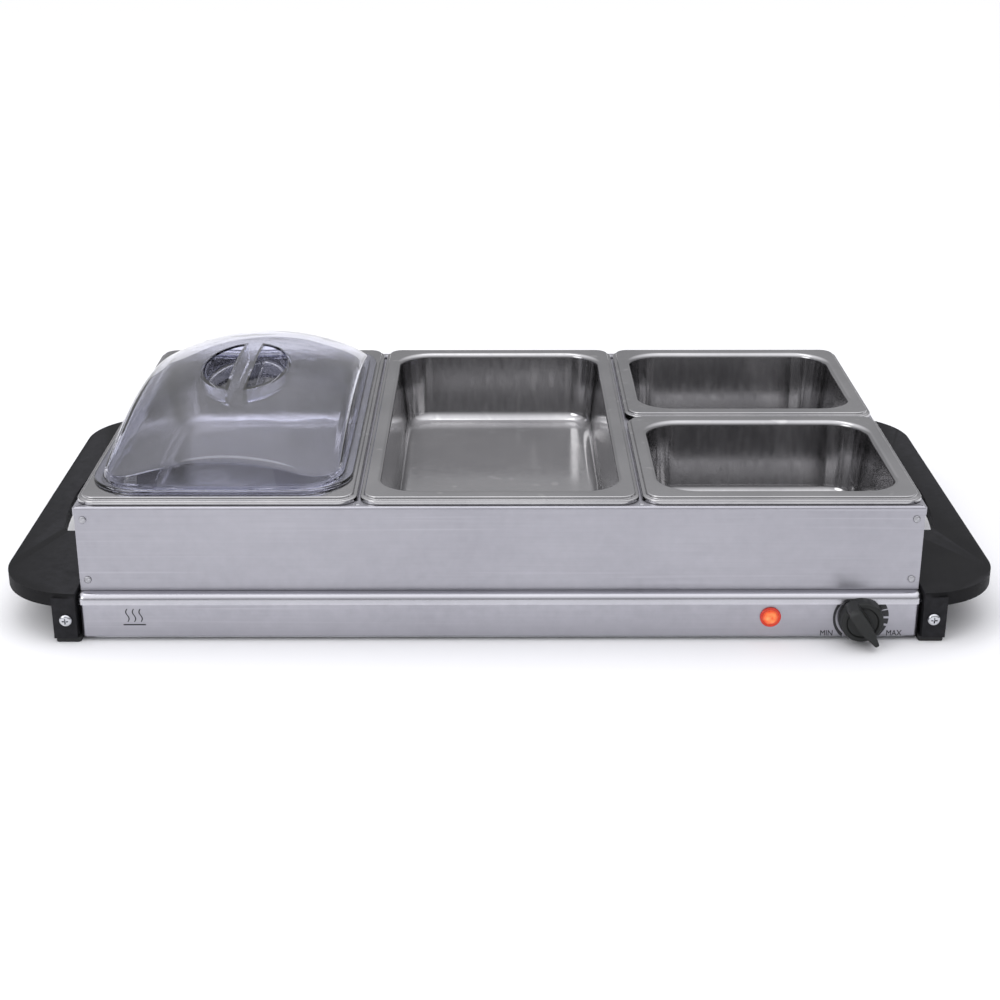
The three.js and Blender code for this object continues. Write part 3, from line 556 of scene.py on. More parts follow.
def mirrored(piece, name, across_x, across_y):
    """A copy on the other side of the object's middle planes."""
    twin = copied(piece, name)
    flips = Matrix.Diagonal((-1.0 if across_x else 1.0, -1.0 if across_y else 1.0, 1.0, 1.0))
    there = Matrix.Translation((0.0, middle_y, 0.0))
    twin.data.transform(there @ flips @ there.inverted())
    if across_x != across_y:
        twin.data.flip_normals()
    return twin


CORNERS = {
    "front_right": (False, False),
    "front_left": (True, False),
    "rear_right": (False, True),
    "rear_left": (True, True),
}

handle_low, handle_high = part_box("handle_right")
bow_under = handle_high.z - BOW_THICKNESS
handle = block("handle_right_moulding", (handle_low.x, handle_low.y, bow_under), handle_high)
edit(handle)
choose(handle, "EDGE", lambda e: is_upright(e) and e.verts[0].co.x > handle_high.x - MM)
bpy.ops.mesh.bevel(offset=BOW_CORNER, segments=28, affect="EDGES")

slot_inner = handle_low.x + SLOT_INSET
slot_outer = slot_inner + SLOT_WIDTH
slot = block(
    "hand_slot",
    (slot_inner, middle_y - SLOT_HALF, handle_high.z - 2 * BOW_THICKNESS),
    (slot_outer, middle_y + SLOT_HALF, handle_high.z + BOW_THICKNESS),
)
edit(slot)
choose(slot, "EDGE", lambda e: is_upright(e, 1) and e.verts[0].co.x > slot_outer - MM)
bpy.ops.mesh.subdivide(number_cuts=15)
slot_mesh = bmesh.from_edit_mesh(slot.data)
for vertex in slot_mesh.verts:
    if vertex.co.x > slot_outer - MM:
        vertex.co.x += SLOT_BOW * (1.0 - ((vertex.co.y - middle_y) / SLOT_HALF) ** 2)
bmesh.update_edit_mesh(slot.data)
choose(slot, "EDGE", lambda e: is_upright(e) and abs(e.verts[0].co.y - middle_y) > SLOT_HALF - MM)
bpy.ops.mesh.bevel(offset=SLOT_CORNER, segments=5, affect="EDGES")
combine(handle, slot, "DIFFERENCE")

leg_inner = handle_low.x + LEG_INSET
for leg_y in (handle_low.y, handle_high.y - LEG_DEPTH):
    leg = block(
        "leg",
        (leg_inner, leg_y, handle_low.z),
        (leg_inner + LEG_WIDTH, leg_y + LEG_DEPTH, handle_high.z - BOW_THICKNESS / 3),
    )
    combine(handle, leg, "UNION")
modify(handle, "BEVEL", width=HANDLE_ROUNDING, segments=3, limit_method="ANGLE",
       angle_limit=math.radians(40), use_clamp_overlap=True)
left_handle = mirrored(handle, "handle_left_moulding", True, False)
for moulding, node in ((handle, "handle_right"), (left_handle, "handle_left")):
    smooth(moulding)
    fit(moulding, "base", "black_plastic", handle_plastic, node)

# Foot pads: small blocks of black rubber with a rounded edge and a shallow dish underneath. One is
# pressed into the underside of each leg.
PAD_ROUNDING = 1.0 * MM
PAD_RECESS = 0.6 * MM

pad_low, pad_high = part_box("foot_pad_front_right")
pad = block("foot_pad", pad_low, pad_high)
edit(pad)
choose(pad, "EDGE", is_upright)
bpy.ops.mesh.bevel(offset=2 * PAD_ROUNDING, segments=5, affect="EDGES")
choose(pad, "FACE", lambda f: f.normal.z < -0.9)
roll(PAD_ROUNDING / 2, 90, 0, 4)
go(2 * PAD_ROUNDING, 0.0)
go(PAD_RECESS / 2, -PAD_RECESS)
let_go()
pad.data.transform(Matrix.Translation((0.0, 0.0, PAD_ROUNDING / 2)))
for corner, flips in CORNERS.items():
    twin = mirrored(pad, f"foot_pad_{corner}_rubber", *flips)
    smooth(twin)
    fit(twin, "base", "black_rubber", rubber, f"foot_pad_{corner}")
bpy.data.objects.remove(pad)

# Handle screws: nickel-plated steel, with a domed head and a cross recess. One goes through the
# front or rear face of each leg and holds the handle to the housing.
SCREW_RADIUS = 4.2 * MM
SCREW_HEAD = 2.3 * MM
SHANK_RADIUS = 2.0 * MM
RECESS_SPAN = 5.0 * MM
RECESS_WIDTH = 1.1 * MM
RECESS_DEPTH = 1.7 * MM
SCREW_EDGE = 0.4 * MM
SCREW_DOME = 2.1 * MM
SCREW_CROWN = 1.4 * MM
SCREW_CROWN_RISE = 0.2 * MM
SHANK_GAP = 0.1 * MM
FACING_FRONT = (math.radians(90), 0.0, 0.0)
FACING_REAR = (math.radians(-90), 0.0, 0.0)


def round_blank(name, centre, radius, facing=FACING_FRONT, sides=32):
    """A flat disc in edit mode with its one face selected, facing the front or the rear."""
    let_go()
    bpy.ops.mesh.primitive_circle_add(
        vertices=sides, radius=radius, fill_type="NGON", location=centre, rotation=facing
    )
    blank = bpy.context.object
    blank.name = name
    blank.data.name = name
    bpy.ops.object.transform_apply(location=True, rotation=True, scale=True)
    bpy.ops.object.mode_set(mode="EDIT")
    bpy.ops.mesh.select_all(action="SELECT")
    return blank


def close_open_edges(piece):
    """Fills the one open edge that a piece started from."""
    choose(piece, "EDGE", lambda e: len(e.link_faces) == 1)
    bpy.ops.mesh.edge_face_add()


def join_to(piece, *others):
    """Makes separate shells one piece."""
    take(piece, *others)
    bpy.ops.object.join()


def middle_at(low, high, y):
    """The middle of a box as the front sees it, at the depth y."""
    return Vector(((low.x + high.x) / 2, y, (low.z + high.z) / 2))


screw_low, screw_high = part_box("handle_screw_front_right")
screw_centre = middle_at(screw_low, screw_high, screw_low.y + SCREW_HEAD)
screw = round_blank("handle_screw", screw_centre, SCREW_RADIUS, sides=40)
go(0.0, SCREW_EDGE)
roll(SCREW_DOME, 82, 14, 6)
go(SCREW_CROWN, SCREW_CROWN_RISE)
close_open_edges(screw)
for across, upright in ((RECESS_SPAN / 2, RECESS_WIDTH / 2), (RECESS_WIDTH / 2, RECESS_SPAN / 2)):
    arm = block(
        "recess_arm",
        (screw_centre.x - across, screw_low.y - MM, screw_centre.z - upright),
        (screw_centre.x + across, screw_low.y + RECESS_DEPTH, screw_centre.z + upright),
    )
    edit(arm)
    choose(arm, "FACE", lambda f: f.normal.y > 0.9)
    bpy.ops.transform.resize(value=(0.5, 1.0, 0.5), center_override=screw_centre)
    combine(screw, arm, "DIFFERENCE")
shank = round_blank("shank", (screw_centre.x, screw_high.y, screw_centre.z), SHANK_RADIUS, sides=20)
go(0.0, screw_high.y - screw_centre.y - SHANK_GAP)
close_open_edges(shank)
join_to(screw, shank)
for corner, flips in CORNERS.items():
    twin = mirrored(screw, f"handle_screw_{corner}_plated", *flips)
    smooth(twin, 28.0)
    fit(twin, "base", "screw_steel", plated_screw, f"handle_screw_{corner}")
bpy.data.objects.remove(screw)

# Cord bush: a black rubber grommet, moulded with a collar, a narrower neck and an open bore for the
# cord. It is pushed into the rear wall of the housing.
BUSH_FLANGE = 9.0 * MM
BUSH_BORE = 3.6 * MM
BUSH_COLLAR = 2.2 * MM
BUSH_GAP = 0.3 * MM
BUSH_ROUNDING = 0.8 * MM
BUSH_LAND = 1.2 * MM
BUSH_FILLET = 0.6 * MM
BUSH_TAPER = 0.6 * MM
BUSH_LIP = 0.5 * MM
BUSH_NECK = 4.6 * MM
BUSH_BENDS = 1.2 * MM
BORE_DRAFT = 0.1 * MM
BORE_SHARE = 0.8

bush_low, bush_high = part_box("cord_bush")
bush_centre = middle_at(bush_low, bush_high, housing_high.y + BUSH_GAP)
bush = round_blank("cord_bush_rubber", bush_centre, BUSH_FLANGE, FACING_REAR, 48)
go(0.0, BUSH_COLLAR - BUSH_ROUNDING)
roll(BUSH_ROUNDING, 90, 0)
go(BUSH_LAND, 0.0)
roll(BUSH_FILLET, 0, 70, 3)
go(BUSH_TAPER, bush_high.y - bush_centre.y - BUSH_COLLAR - BUSH_BENDS)
roll(BUSH_ROUNDING, 75, 0)
go(BUSH_FLANGE - BUSH_BORE - BUSH_NECK, 0.0)
roll(BUSH_LIP, 0, -85)
go(BORE_DRAFT, -(bush_high.y - bush_low.y) * BORE_SHARE)
close_open_edges(bush)
smooth(bush)
fit(bush, "base", "black_rubber", rubber, "cord_bush")

# Indicator lamp: a red lens with a round lip, snapped into the fascia, and a cut jewel in its
# middle that the neon lamp behind it lights up.
LENS_LIP = 1.4 * MM
JEWEL_RADIUS = 4.9 * MM
JEWEL_SIDES = 12
JEWEL_SET_BACK = 0.4 * MM
JEWEL_FACETS = ((0.4 * MM, 1.1 * MM), (1.5 * MM, 0.8 * MM), (1.4 * MM, 0.35 * MM))
JEWEL_POINT = 0.25 * MM
LENS_ROUNDING = 0.7 * MM
LENS_LAND = 0.3 * MM
LENS_FILLET = 0.4 * MM
LENS_WELL = (0.2 * MM, -0.3 * MM)
LENS_GAP = 0.1 * MM
GLOW_RADIUS = 2.5 * MM
RIM_RADIUS = 5.8 * MM


def lens_material(middle):
    """Red lens: deep red at the rim, lit orange in the middle, with a fine moulded sparkle."""
    material, tree, shader, place = blank_material("lens_red")
    centre = tree.nodes.new("ShaderNodeMapping")
    centre.vector_type = "POINT"
    centre.inputs["Location"].default_value = (-middle.x, 0.0, -middle.z)
    centre.inputs["Scale"].default_value = (1.0, 0.0, 1.0)
    tree.links.new(place, centre.inputs["Vector"])
    reach = tree.nodes.new("ShaderNodeVectorMath")
    reach.operation = "LENGTH"
    tree.links.new(centre.outputs["Vector"], reach.inputs[0])
    rim = ramp(tree, reach.outputs["Value"], GLOW_RADIUS, RIM_RADIUS)
    sparkle = use_group(tree, brushing, place, Grain=(900.0, 900.0, 900.0), Patch_Scale=420.0)
    glow = blend_colours(tree, spread(tree, sparkle.outputs["Patches"], 0.0, 1.0), (0.95, 0.10, 0.02),
                         (1.0, 0.32, 0.10))
    tree.links.new(blend_colours(tree, rim, glow, (0.62, 0.03, 0.012)), shader.inputs["Base Color"])
    tree.links.new(blend_colours(tree, rim, glow, (0.05, 0.0, 0.0)), shader.inputs["Emission Color"])
    shader.inputs["Emission Strength"].default_value = 0.35
    tree.links.new(spread(tree, sparkle.outputs["Lines"], 0.10, 0.22), shader.inputs["Roughness"])
    add_bump(tree, shader, sparkle.outputs["Lines"], 0.03 * MM)
    return material


lens_low, lens_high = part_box("indicator_lens")
fascia = housing_low.y
lens_centre = middle_at(lens_low, lens_high, fascia - LENS_GAP)
lens_radius = (lens_high.z - lens_low.z) / 2
lens = round_blank("indicator_lens_red", lens_centre, lens_radius, sides=48)
go(0.0, LENS_LIP - LENS_ROUNDING)
roll(LENS_ROUNDING, 90, 0, 8)
go(LENS_LAND, 0.0)
roll(LENS_FILLET, 0, -60, 4)
go(*LENS_WELL)
close_open_edges(lens)
jewel_centre = (lens_centre.x, lens_centre.y - JEWEL_SET_BACK, lens_centre.z)
jewel = round_blank("jewel", jewel_centre, JEWEL_RADIUS, sides=JEWEL_SIDES)
for inward, ahead in JEWEL_FACETS:
    go(inward, ahead)
bpy.ops.mesh.poke(offset=JEWEL_POINT)
close_open_edges(jewel)
join_to(lens, jewel)
smooth(lens, 13.0)
fit(lens, "base", "red_lens", lens_material(lens_centre), "indicator_lens")

# Control knob: one black moulding, a round skirt with a raised grip across it that narrows to a
# pointer. It is pushed onto the flat of the thermostat's shaft.
KNOB_RADIUS = 14.2 * MM
KNOB_SKIRT = 8.0 * MM
KNOB_DRAFT = 0.7 * MM
KNOB_EDGE = 1.8 * MM
KNOB_LAND = 1.0 * MM
KNOB_FILLET = 1.0 * MM
KNOB_DISH = (0.6 * MM, -0.5 * MM)
GRIP_REACH = 16.0 * MM
GRIP_HALF_WIDTH = 4.9 * MM
POINTER_START = 2.0 * MM
POINTER_TIP = 0.34
POINTER_ROUNDING = 1.2 * MM
GRIP_TAPER = (0.95, 1.0, 0.80)
GRIP_ROUNDING = 0.9 * MM
KNOB_SETTING = 55.0

knob_axis = Vector(next(joint for joint in frame["joints"] if joint["name"] == "knob_turn")["pos_m"])
knob_low, knob_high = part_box("control_knob")
knob_back = Vector((knob_axis.x, knob_high.y, knob_axis.z))
knob = round_blank("control_knob_black", knob_back, KNOB_RADIUS, sides=72)
go(KNOB_DRAFT, KNOB_SKIRT - KNOB_EDGE)
roll(KNOB_EDGE, 84, 0, 7)
go(KNOB_LAND, 0.0)
roll(KNOB_FILLET, 0, -40, 4)
go(*KNOB_DISH)
close_open_edges(knob)
grip = block(
    "grip",
    (knob_axis.x - GRIP_REACH, knob_low.y, knob_axis.z - GRIP_HALF_WIDTH),
    (knob_axis.x + GRIP_REACH, knob_high.y - KNOB_SKIRT / 2, knob_axis.z + GRIP_HALF_WIDTH),
)
edit(grip)
bpy.ops.mesh.select_all(action="SELECT")
bpy.ops.mesh.bisect(plane_co=(knob_axis.x + POINTER_START, 0, 0), plane_no=(1, 0, 0))
choose(grip, "FACE", lambda f: f.normal.x > 0.9 and f.calc_center_median().x > knob_axis.x + POINTER_START)
bpy.ops.transform.resize(value=(1.0, 1.0, POINTER_TIP), center_override=knob_back)
choose(grip, "EDGE", lambda e: is_upright(e, 1) and e.verts[0].co.x < knob_axis.x - GRIP_REACH + MM)
bpy.ops.mesh.bevel(offset=GRIP_HALF_WIDTH - 0.1 * MM, segments=10, affect="EDGES")
choose(grip, "EDGE", lambda e: is_upright(e, 1) and e.verts[0].co.x > knob_axis.x + GRIP_REACH - MM)
bpy.ops.mesh.bevel(offset=POINTER_ROUNDING, segments=4, affect="EDGES")
choose(grip, "FACE", lambda f: f.normal.y < -0.9)
bpy.ops.transform.resize(value=GRIP_TAPER, center_override=knob_back)
combine(knob, grip, "UNION")
modify(knob, "BEVEL", width=GRIP_ROUNDING, segments=3, limit_method="ANGLE", angle_limit=math.radians(42))
place_knob = Matrix.Translation(knob_back)
knob.data.transform(place_knob @ Matrix.Rotation(math.radians(KNOB_SETTING), 4, "Y") @ place_knob.inverted())
smooth(knob)
fit(knob, "knob", "knob_plastic", knob_plastic, "control_knob")

# Dial print: a black band round the knob, thin at the low end and broad at the high end where it is
# broken into segments, with the words MIN and MAX, and a three-wave heat mark at the left.
PRINT_THICKNESS = 0.05 * MM
PRINT_LIFT = 0.03 * MM
PRINT_BELOW_TOP = 2.0 * MM
LETTER_WEIGHT = 0.014
LETTER_WIDTH = 0.86
DIAL_RADIUS = 17.75 * MM
DIAL_INNER = 14.6 * MM
DIAL_SHIFT = 1.5 * MM
DIAL_CENTRE = (0.6 * MM, -0.5 * MM)
DIAL_END = 49.0
DIAL_BREAKS = (-19.0, 0.0, 19.5)
DIAL_BREAK_WIDTH = 4.4
LETTER_HEIGHT = 3.8 * MM
WORD_DROP = 11.4 * MM
WORD_REACH = {"MIN": -20.6 * MM, "MAX": 22.4 * MM}
HEAT_MARK_X = -232.4 * MM
WAVE_STEP = 4.2 * MM
WAVE_HEIGHT = 9.0 * MM
WAVE_SWING = 0.9 * MM
STROKE = 0.75 * MM
HEAT_MARK_RISE = 1.5 * MM
HEAT_BAR_DROP = 2.0 * MM
HEAT_BAR_LENGTH = 3.4 * WAVE_STEP
HEAT_BAR_STROKE = 1.2 * STROKE


def print_material():
    """Screen-printed black ink: slightly uneven and thin where it lies on the brushed grain."""
    material, tree, shader, place = blank_material("ink_black")
    grain = use_group(tree, brushing, place, Grain=GRAIN_ALONG_X, Patch_Scale=300.0)
    tone = spread(tree, grain.outputs["Lines"], 0.0, 1.0)
    tree.links.new(blend_colours(tree, tone, (0.012, 0.012, 0.014), (0.026, 0.026, 0.030)),
                   shader.inputs["Base Color"])
    tree.links.new(spread(tree, grain.outputs["Patches"], 0.38, 0.56), shader.inputs["Roughness"])
    add_bump(tree, shader, grain.outputs["Lines"], 0.01 * MM)
    return material


ink = print_material()
ink_face = fascia - PRINT_LIFT


def flat_bar(centre, width, tall):
    """A flat upright rectangle that faces the front."""
    let_go()
    bpy.ops.mesh.primitive_plane_add(size=1.0, location=centre, rotation=FACING_FRONT)
    piece = bpy.context.object
    piece.scale = (width, tall, 1.0)
    bpy.ops.object.transform_apply(location=True, rotation=True, scale=True)
    return piece


def finish_print(piece):
    """Gives flat print its thickness, in front of the fascia, and its ink."""
    modify(piece, "SOLIDIFY", thickness=PRINT_THICKNESS, offset=1.0)
    fit(piece, "base", "black_plastic", ink)


dial_x = knob_axis.x + DIAL_CENTRE[0]
dial_z = knob_axis.z + DIAL_CENTRE[1]
dial = round_blank("dial_band", (dial_x, ink_face, dial_z), DIAL_RADIUS, sides=144)
bpy.ops.mesh.inset(thickness=DIAL_RADIUS - DIAL_INNER)
bpy.ops.transform.translate(value=(-DIAL_SHIFT, 0.0, 0.0))
bpy.ops.mesh.delete(type="FACE")


def is_off_dial(face):
    """True below the band's two ends and where the band is broken."""
    middle = face.calc_center_median()
    angle = math.degrees(math.atan2(middle.z - dial_z, middle.x - dial_x))
    below = -180.0 + DIAL_END < angle < -DIAL_END
    broken = any(abs(angle - stop) < DIAL_BREAK_WIDTH / 2 for stop in DIAL_BREAKS)
    return below or broken or middle.z > HOUSING_TOP - PRINT_BELOW_TOP


choose(dial, "FACE", is_off_dial)
bpy.ops.mesh.delete(type="FACE")
finish_print(dial)

for word, reach in WORD_REACH.items():
    let_go()
    bpy.ops.object.text_add()
    lettering = bpy.context.object
    lettering.data.body = word
    lettering.data.align_x = "CENTER"
    lettering.data.bevel_depth = LETTER_WEIGHT
    lettering.data.bevel_resolution = 0
    bpy.ops.object.convert(target="MESH")
    lettering = bpy.context.object
    lettering.name = f"word_{word.lower()}"
    edit(lettering)
    bpy.ops.mesh.select_all(action="SELECT")
    bpy.ops.mesh.remove_doubles(threshold=TOUCH)
    let_go()
    tallest = max(vertex.co.y for vertex in lettering.data.vertices)
    size = LETTER_HEIGHT / tallest
    to_size = Matrix.Diagonal((size * LETTER_WIDTH, size, size, 1.0))
    stand = Matrix.Rotation(math.radians(90), 4, "X")
    baseline = knob_axis.z - WORD_DROP - LETTER_HEIGHT / 2
    to_place = Matrix.Translation((knob_axis.x + reach, ink_face, baseline))
    lettering.data.transform(to_place @ stand @ to_size)
    fit(lettering, "base", "black_plastic", ink)

mark_low = knob_axis.z - WAVE_HEIGHT / 2 + HEAT_MARK_RISE
waves = []
for step in (-1, 0, 1):
    centre = (HEAT_MARK_X + step * WAVE_STEP, ink_face, mark_low + WAVE_HEIGHT / 2)
    wave = flat_bar(centre, STROKE, WAVE_HEIGHT)
    edit(wave)
    choose(wave, "EDGE", is_upright)
    bpy.ops.mesh.subdivide(number_cuts=20)
    wave_mesh = bmesh.from_edit_mesh(wave.data)
    for vertex in wave_mesh.verts:
        vertex.co.x += WAVE_SWING * math.sin((vertex.co.z - mark_low) / WAVE_HEIGHT * 2 * math.pi)
    bmesh.update_edit_mesh(wave.data)
    waves.append(wave)
bar = flat_bar((HEAT_MARK_X, ink_face, mark_low - HEAT_BAR_DROP), HEAT_BAR_LENGTH, HEAT_BAR_STROKE)
bar.name = "heat_mark"
join_to(bar, *waves)
finish_print(bar)

# Lift-off frame: four panels of brushed stainless sheet with their top edges folded in as shelves
# for the pans. The side panels have a hemmed top edge. They stand on the plate's ledge.
FRAME_SHEET = 1.0 * MM
FRAME_SHELF = 10.5 * MM
FRAME_BEND = 1.7 * MM
FRAME_EDGE = 0.25 * MM
FRAME_GAP = 0.08 * MM
HEM_HEIGHT = 6.0 * MM


def folded_panel(name, low, high, along):
    """A sheet standing at its low side and folded in at the top, its shelf mitred at both ends."""
    outward = 1 - along
    far = list(high)
    far[outward] = low[outward] + FRAME_SHELF
    panel = block(name, low, far)
    edit(panel)
    choose(panel, "FACE", lambda f: f.normal[outward] > -0.9 and f.normal.z < 0.9)
    bpy.ops.mesh.delete(type="FACE")
    for end, sense in ((low[along], 1.0), (high[along], -1.0)):
        choose(panel, "VERT", lambda v: abs(v.co[outward] - far[outward]) + abs(v.co[along] - end) < TOUCH)
        mitre = [0.0, 0.0, 0.0]
        mitre[along] = sense * FRAME_SHELF
        bpy.ops.transform.translate(value=mitre)
    choose(panel, "EDGE", lambda e: len(e.link_faces) == 2)
    bpy.ops.mesh.bevel(offset=FRAME_BEND, segments=6, affect="EDGES")
    modify(panel, "SOLIDIFY", thickness=FRAME_SHEET, offset=-1.0)
    return panel


front_low, front_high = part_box("frame_front_panel")
front_low.z = plate_high.z - PLATEAU_RISE + FRAME_GAP
front_panel = folded_panel("frame_front_panel_skin", front_low, front_high, 0)
side_low, side_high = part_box("frame_left_panel")
sheet_low = Vector((front_low.x, side_low.y, side_low.z))
left_panel = folded_panel("frame_left_panel_skin", sheet_low, side_high, 1)
hem = block("hem", (side_low.x, side_low.y, side_high.z - HEM_HEIGHT),
            (sheet_low.x + FRAME_SHEET / 2, side_high.y, side_high.z - FRAME_BEND / 2))
join_to(left_panel, hem)
panels = {
    "front": (front_panel, brushed_along_x),
    "rear": (mirrored(front_panel, "frame_rear_panel_skin", False, True), brushed_along_x),
    "left": (left_panel, brushed_along_y),
    "right": (mirrored(left_panel, "frame_right_panel_skin", True, False), brushed_along_y),
}
for side, (panel, steel) in panels.items():
    modify(panel, "BEVEL", width=FRAME_EDGE, segments=2, limit_method="ANGLE", angle_limit=math.radians(50))
    smooth(panel, 40.0)
    fit(panel, "frame", "brushed_steel", steel, f"frame_{side}_panel")

# Rivets: two aluminium ones at each corner of the frame, with domed heads outside and flat tails
# inside, and four small spot rivets through the long shelves into the ends of the dividers.
RIVET_HEAD = 0.9 * MM
RIVET_RADIUS = 2.4 * MM
RIVET_DOME = 0.95 * MM
RIVET_CROWN = (0.7 * MM, 0.06 * MM)
RIVET_SHANK = 1.5 * MM
RIVET_TAIL = 0.8 * MM
RIVET_GAP = 0.7 * MM
SPOT_RADIUS = 1.6 * MM
SPOT_DOME = 0.9 * MM
SPOT_FROM_EDGE = 5.2 * MM
SPOT_FROM_SIDE = 6.0 * MM
rivet_metal = metal("aluminium_rivet", (0.46, 0.46, 0.48), (0.36, 0.36, 0.38), (0.30, 0.42),
                    (500.0, 500.0, 500.0), 0.02 * MM, patch_scale=120.0)

for row in ("lower", "upper"):
    rivet_low, rivet_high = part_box(f"rivet_front_left_{row}")
    at = middle_at(rivet_low, rivet_high, rivet_low.y + RIVET_HEAD)
    rivet = round_blank("rivet", at, RIVET_RADIUS, sides=28)
    roll(RIVET_DOME, 78, 10, 6)
    go(*RIVET_CROWN)
    close_open_edges(rivet)
    shank = round_blank("shank", (at.x, rivet_high.y, at.z), RIVET_RADIUS, sides=20)
    go(0.0, RIVET_TAIL)
    go(RIVET_RADIUS - RIVET_SHANK, 0.0)
    go(0.0, rivet_high.y - at.y - RIVET_GAP)
    close_open_edges(shank)
    join_to(rivet, shank)
    # The rivet is made at the front left and the corners count from the front right.
    for corner, (other_side, other_end) in CORNERS.items():
        twin = mirrored(rivet, f"rivet_{corner}_{row}_domed", not other_side, other_end)
        smooth(twin, 28.0)
        fit(twin, "frame", "screw_steel", rivet_metal, f"rivet_{corner}_{row}")
    bpy.data.objects.remove(rivet)

spot_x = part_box("divider_right")[0].x + SPOT_FROM_SIDE
spot_place = (spot_x, front_low.y + SPOT_FROM_EDGE, front_high.z)
spot = round_blank("spot", spot_place, SPOT_RADIUS, (0.0, 0.0, 0.0), 24)
roll(SPOT_DOME, 60, 8, 5)
close_open_edges(spot)
for corner, flips in CORNERS.items():
    twin = mirrored(spot, f"divider_spot_{corner}", *flips)
    smooth(twin, 28.0)
    fit(twin, "frame", "screw_steel", rivet_metal)
bpy.data.objects.remove(spot)

# Food pans: deep-drawn satin stainless steel. Each has a flat rim that steps down to a rolled edge,
# a mouth with a rounded lip, a tapered wall and a softly rounded floor.
PAN_SHEET = 0.8 * MM
RIM_CORNER = 12.0 * MM
RIM_DROP = 4.3 * MM
RIM_SKIRT = 1.7 * MM
RIM_EDGE = 0.8 * MM
RIM_LEDGE = (1.4 * MM, 0.15 * MM)
RIM_CREASE = 0.5 * MM
RIM_RISER = (0.15 * MM, 0.8 * MM)
RIM_STEP = 0.7 * MM
RIM_AT_SIDES = 8.8 * MM
RIM_AT_ENDS = 11.3 * MM
MOUTH_CORNER = 27.0 * MM
MOUTH_ROLL = 3.2 * MM
WALL_SLOPE = -84.5
FLOOR_ROLL = 8.0 * MM
FLOOR_SLOPE = -3
FLOOR_DISH = (5.0 * MM, -0.25 * MM)
FLOOR_GAP = 0.3 * MM


def deep_drawn_pan(name, low, high):
    """One pan between the corners of its CAD box, rolled edge first and floor last."""
    piece = rounded_blank(name, low, high, high.z - RIM_DROP, RIM_CORNER, 10)
    go(0.0, RIM_SKIRT)
    roll(RIM_EDGE, 90, 15)
    go(*RIM_LEDGE)
    roll(RIM_CREASE, 10, 75, 3)
    go(*RIM_RISER)
    roll(RIM_STEP, 78, 0, 5)
    reached = next(face for face in bmesh.from_edit_mesh(piece.data).faces if face.select).verts[0].co.z
    mouth_low = (low.x + RIM_AT_SIDES, low.y + RIM_AT_ENDS)
    mouth_high = (high.x - RIM_AT_SIDES, high.y - RIM_AT_ENDS)
    change_corner(piece, mouth_low, mouth_high, MOUTH_CORNER, reached, 10)
    roll(MOUTH_ROLL, 0, WALL_SLOPE, 7)
    turned_in = FLOOR_ROLL * (math.cos(math.radians(WALL_SLOPE)) - math.cos(math.radians(FLOOR_SLOPE)))
    lip = MOUTH_ROLL * (1 - math.cos(math.radians(WALL_SLOPE)))
    depth = high.z - low.z - PAN_SHEET - lip + turned_in - FLOOR_GAP
    go(depth / math.tan(math.radians(-WALL_SLOPE)), -depth)
    roll(FLOOR_ROLL, WALL_SLOPE, FLOOR_SLOPE, 9)
    go(*FLOOR_DISH)
    modify(piece, "SOLIDIFY", thickness=PAN_SHEET, offset=-1.0)
    return piece


pan_steel = metal("steel_drawn_satin", (0.50, 0.495, 0.50), (0.37, 0.367, 0.375), (0.10, 0.20),
                  (240.0, 240.0, 60.0), 0.012 * MM, patch_scale=14.0)
long_pan = deep_drawn_pan("pan_left_drawn", *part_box("pan_left"))
small_pan = deep_drawn_pan("pan_right_rear_drawn", *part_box("pan_right_rear"))


def shifted(piece, name, source, target):
    """A copy moved from one CAD node's place to another's."""
    twin = copied(piece, name)
    twin.data.transform(Matrix.Translation(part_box(target)[0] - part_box(source)[0]))
    return twin


pans = {
    "pan_left": long_pan,
    "pan_middle": shifted(long_pan, "pan_middle_drawn", "pan_left", "pan_middle"),
    "pan_right_rear": small_pan,
    "pan_right_front": shifted(small_pan, "pan_right_front_drawn", "pan_right_rear", "pan_right_front"),
}
for node, piece in pans.items():
    smooth(piece, 28.0)
    fit(piece, node, "drawn_steel", pan_steel, node)

# Dome lid: one clear moulding on the left pan. A flat flange sits on the pan's rim, the crown is
# arched both ways, and two half-oval finger wells leave a bar between them to lift it by.
LID_CORNER = 34.0 * MM
LID_SHEET = 2.0 * MM
FLANGE_WIDTH = 5.1 * MM
FLANGE_ROUNDING = 0.6 * MM
DOME_DRAFT = 2.2 * MM
LID_CROWN = 39.5 * MM
ARCH_ACROSS = 3.3
ARCH_ALONG = 0.9
SHOULDER = 6.0 * MM
CROWN_BAND = (3.6 * MM, 0.1 * MM)
PLUG_INSET = 8.9 * MM
PLUG_WALL = 2.2 * MM
PLUG_DEPTH = 2.6 * MM
BORE_OVERRUN = 2.0 * MM
WELL_HALF = (29.5 * MM, 54.5 * MM)
WELL_FLOOR = 24.0 * MM
WELL_ROLL = 3.5 * MM
WELL_DRAFT = 1.2 * MM
WELL_OVERRUN = 10.0 * MM
BAR_HALF = 7.0 * MM
LID_MESH = 5.5 * MM

lid_low, lid_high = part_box("dome_lid")
lid_middle = (lid_low + lid_high) / 2
seat = lid_low.z + PLUG_DEPTH


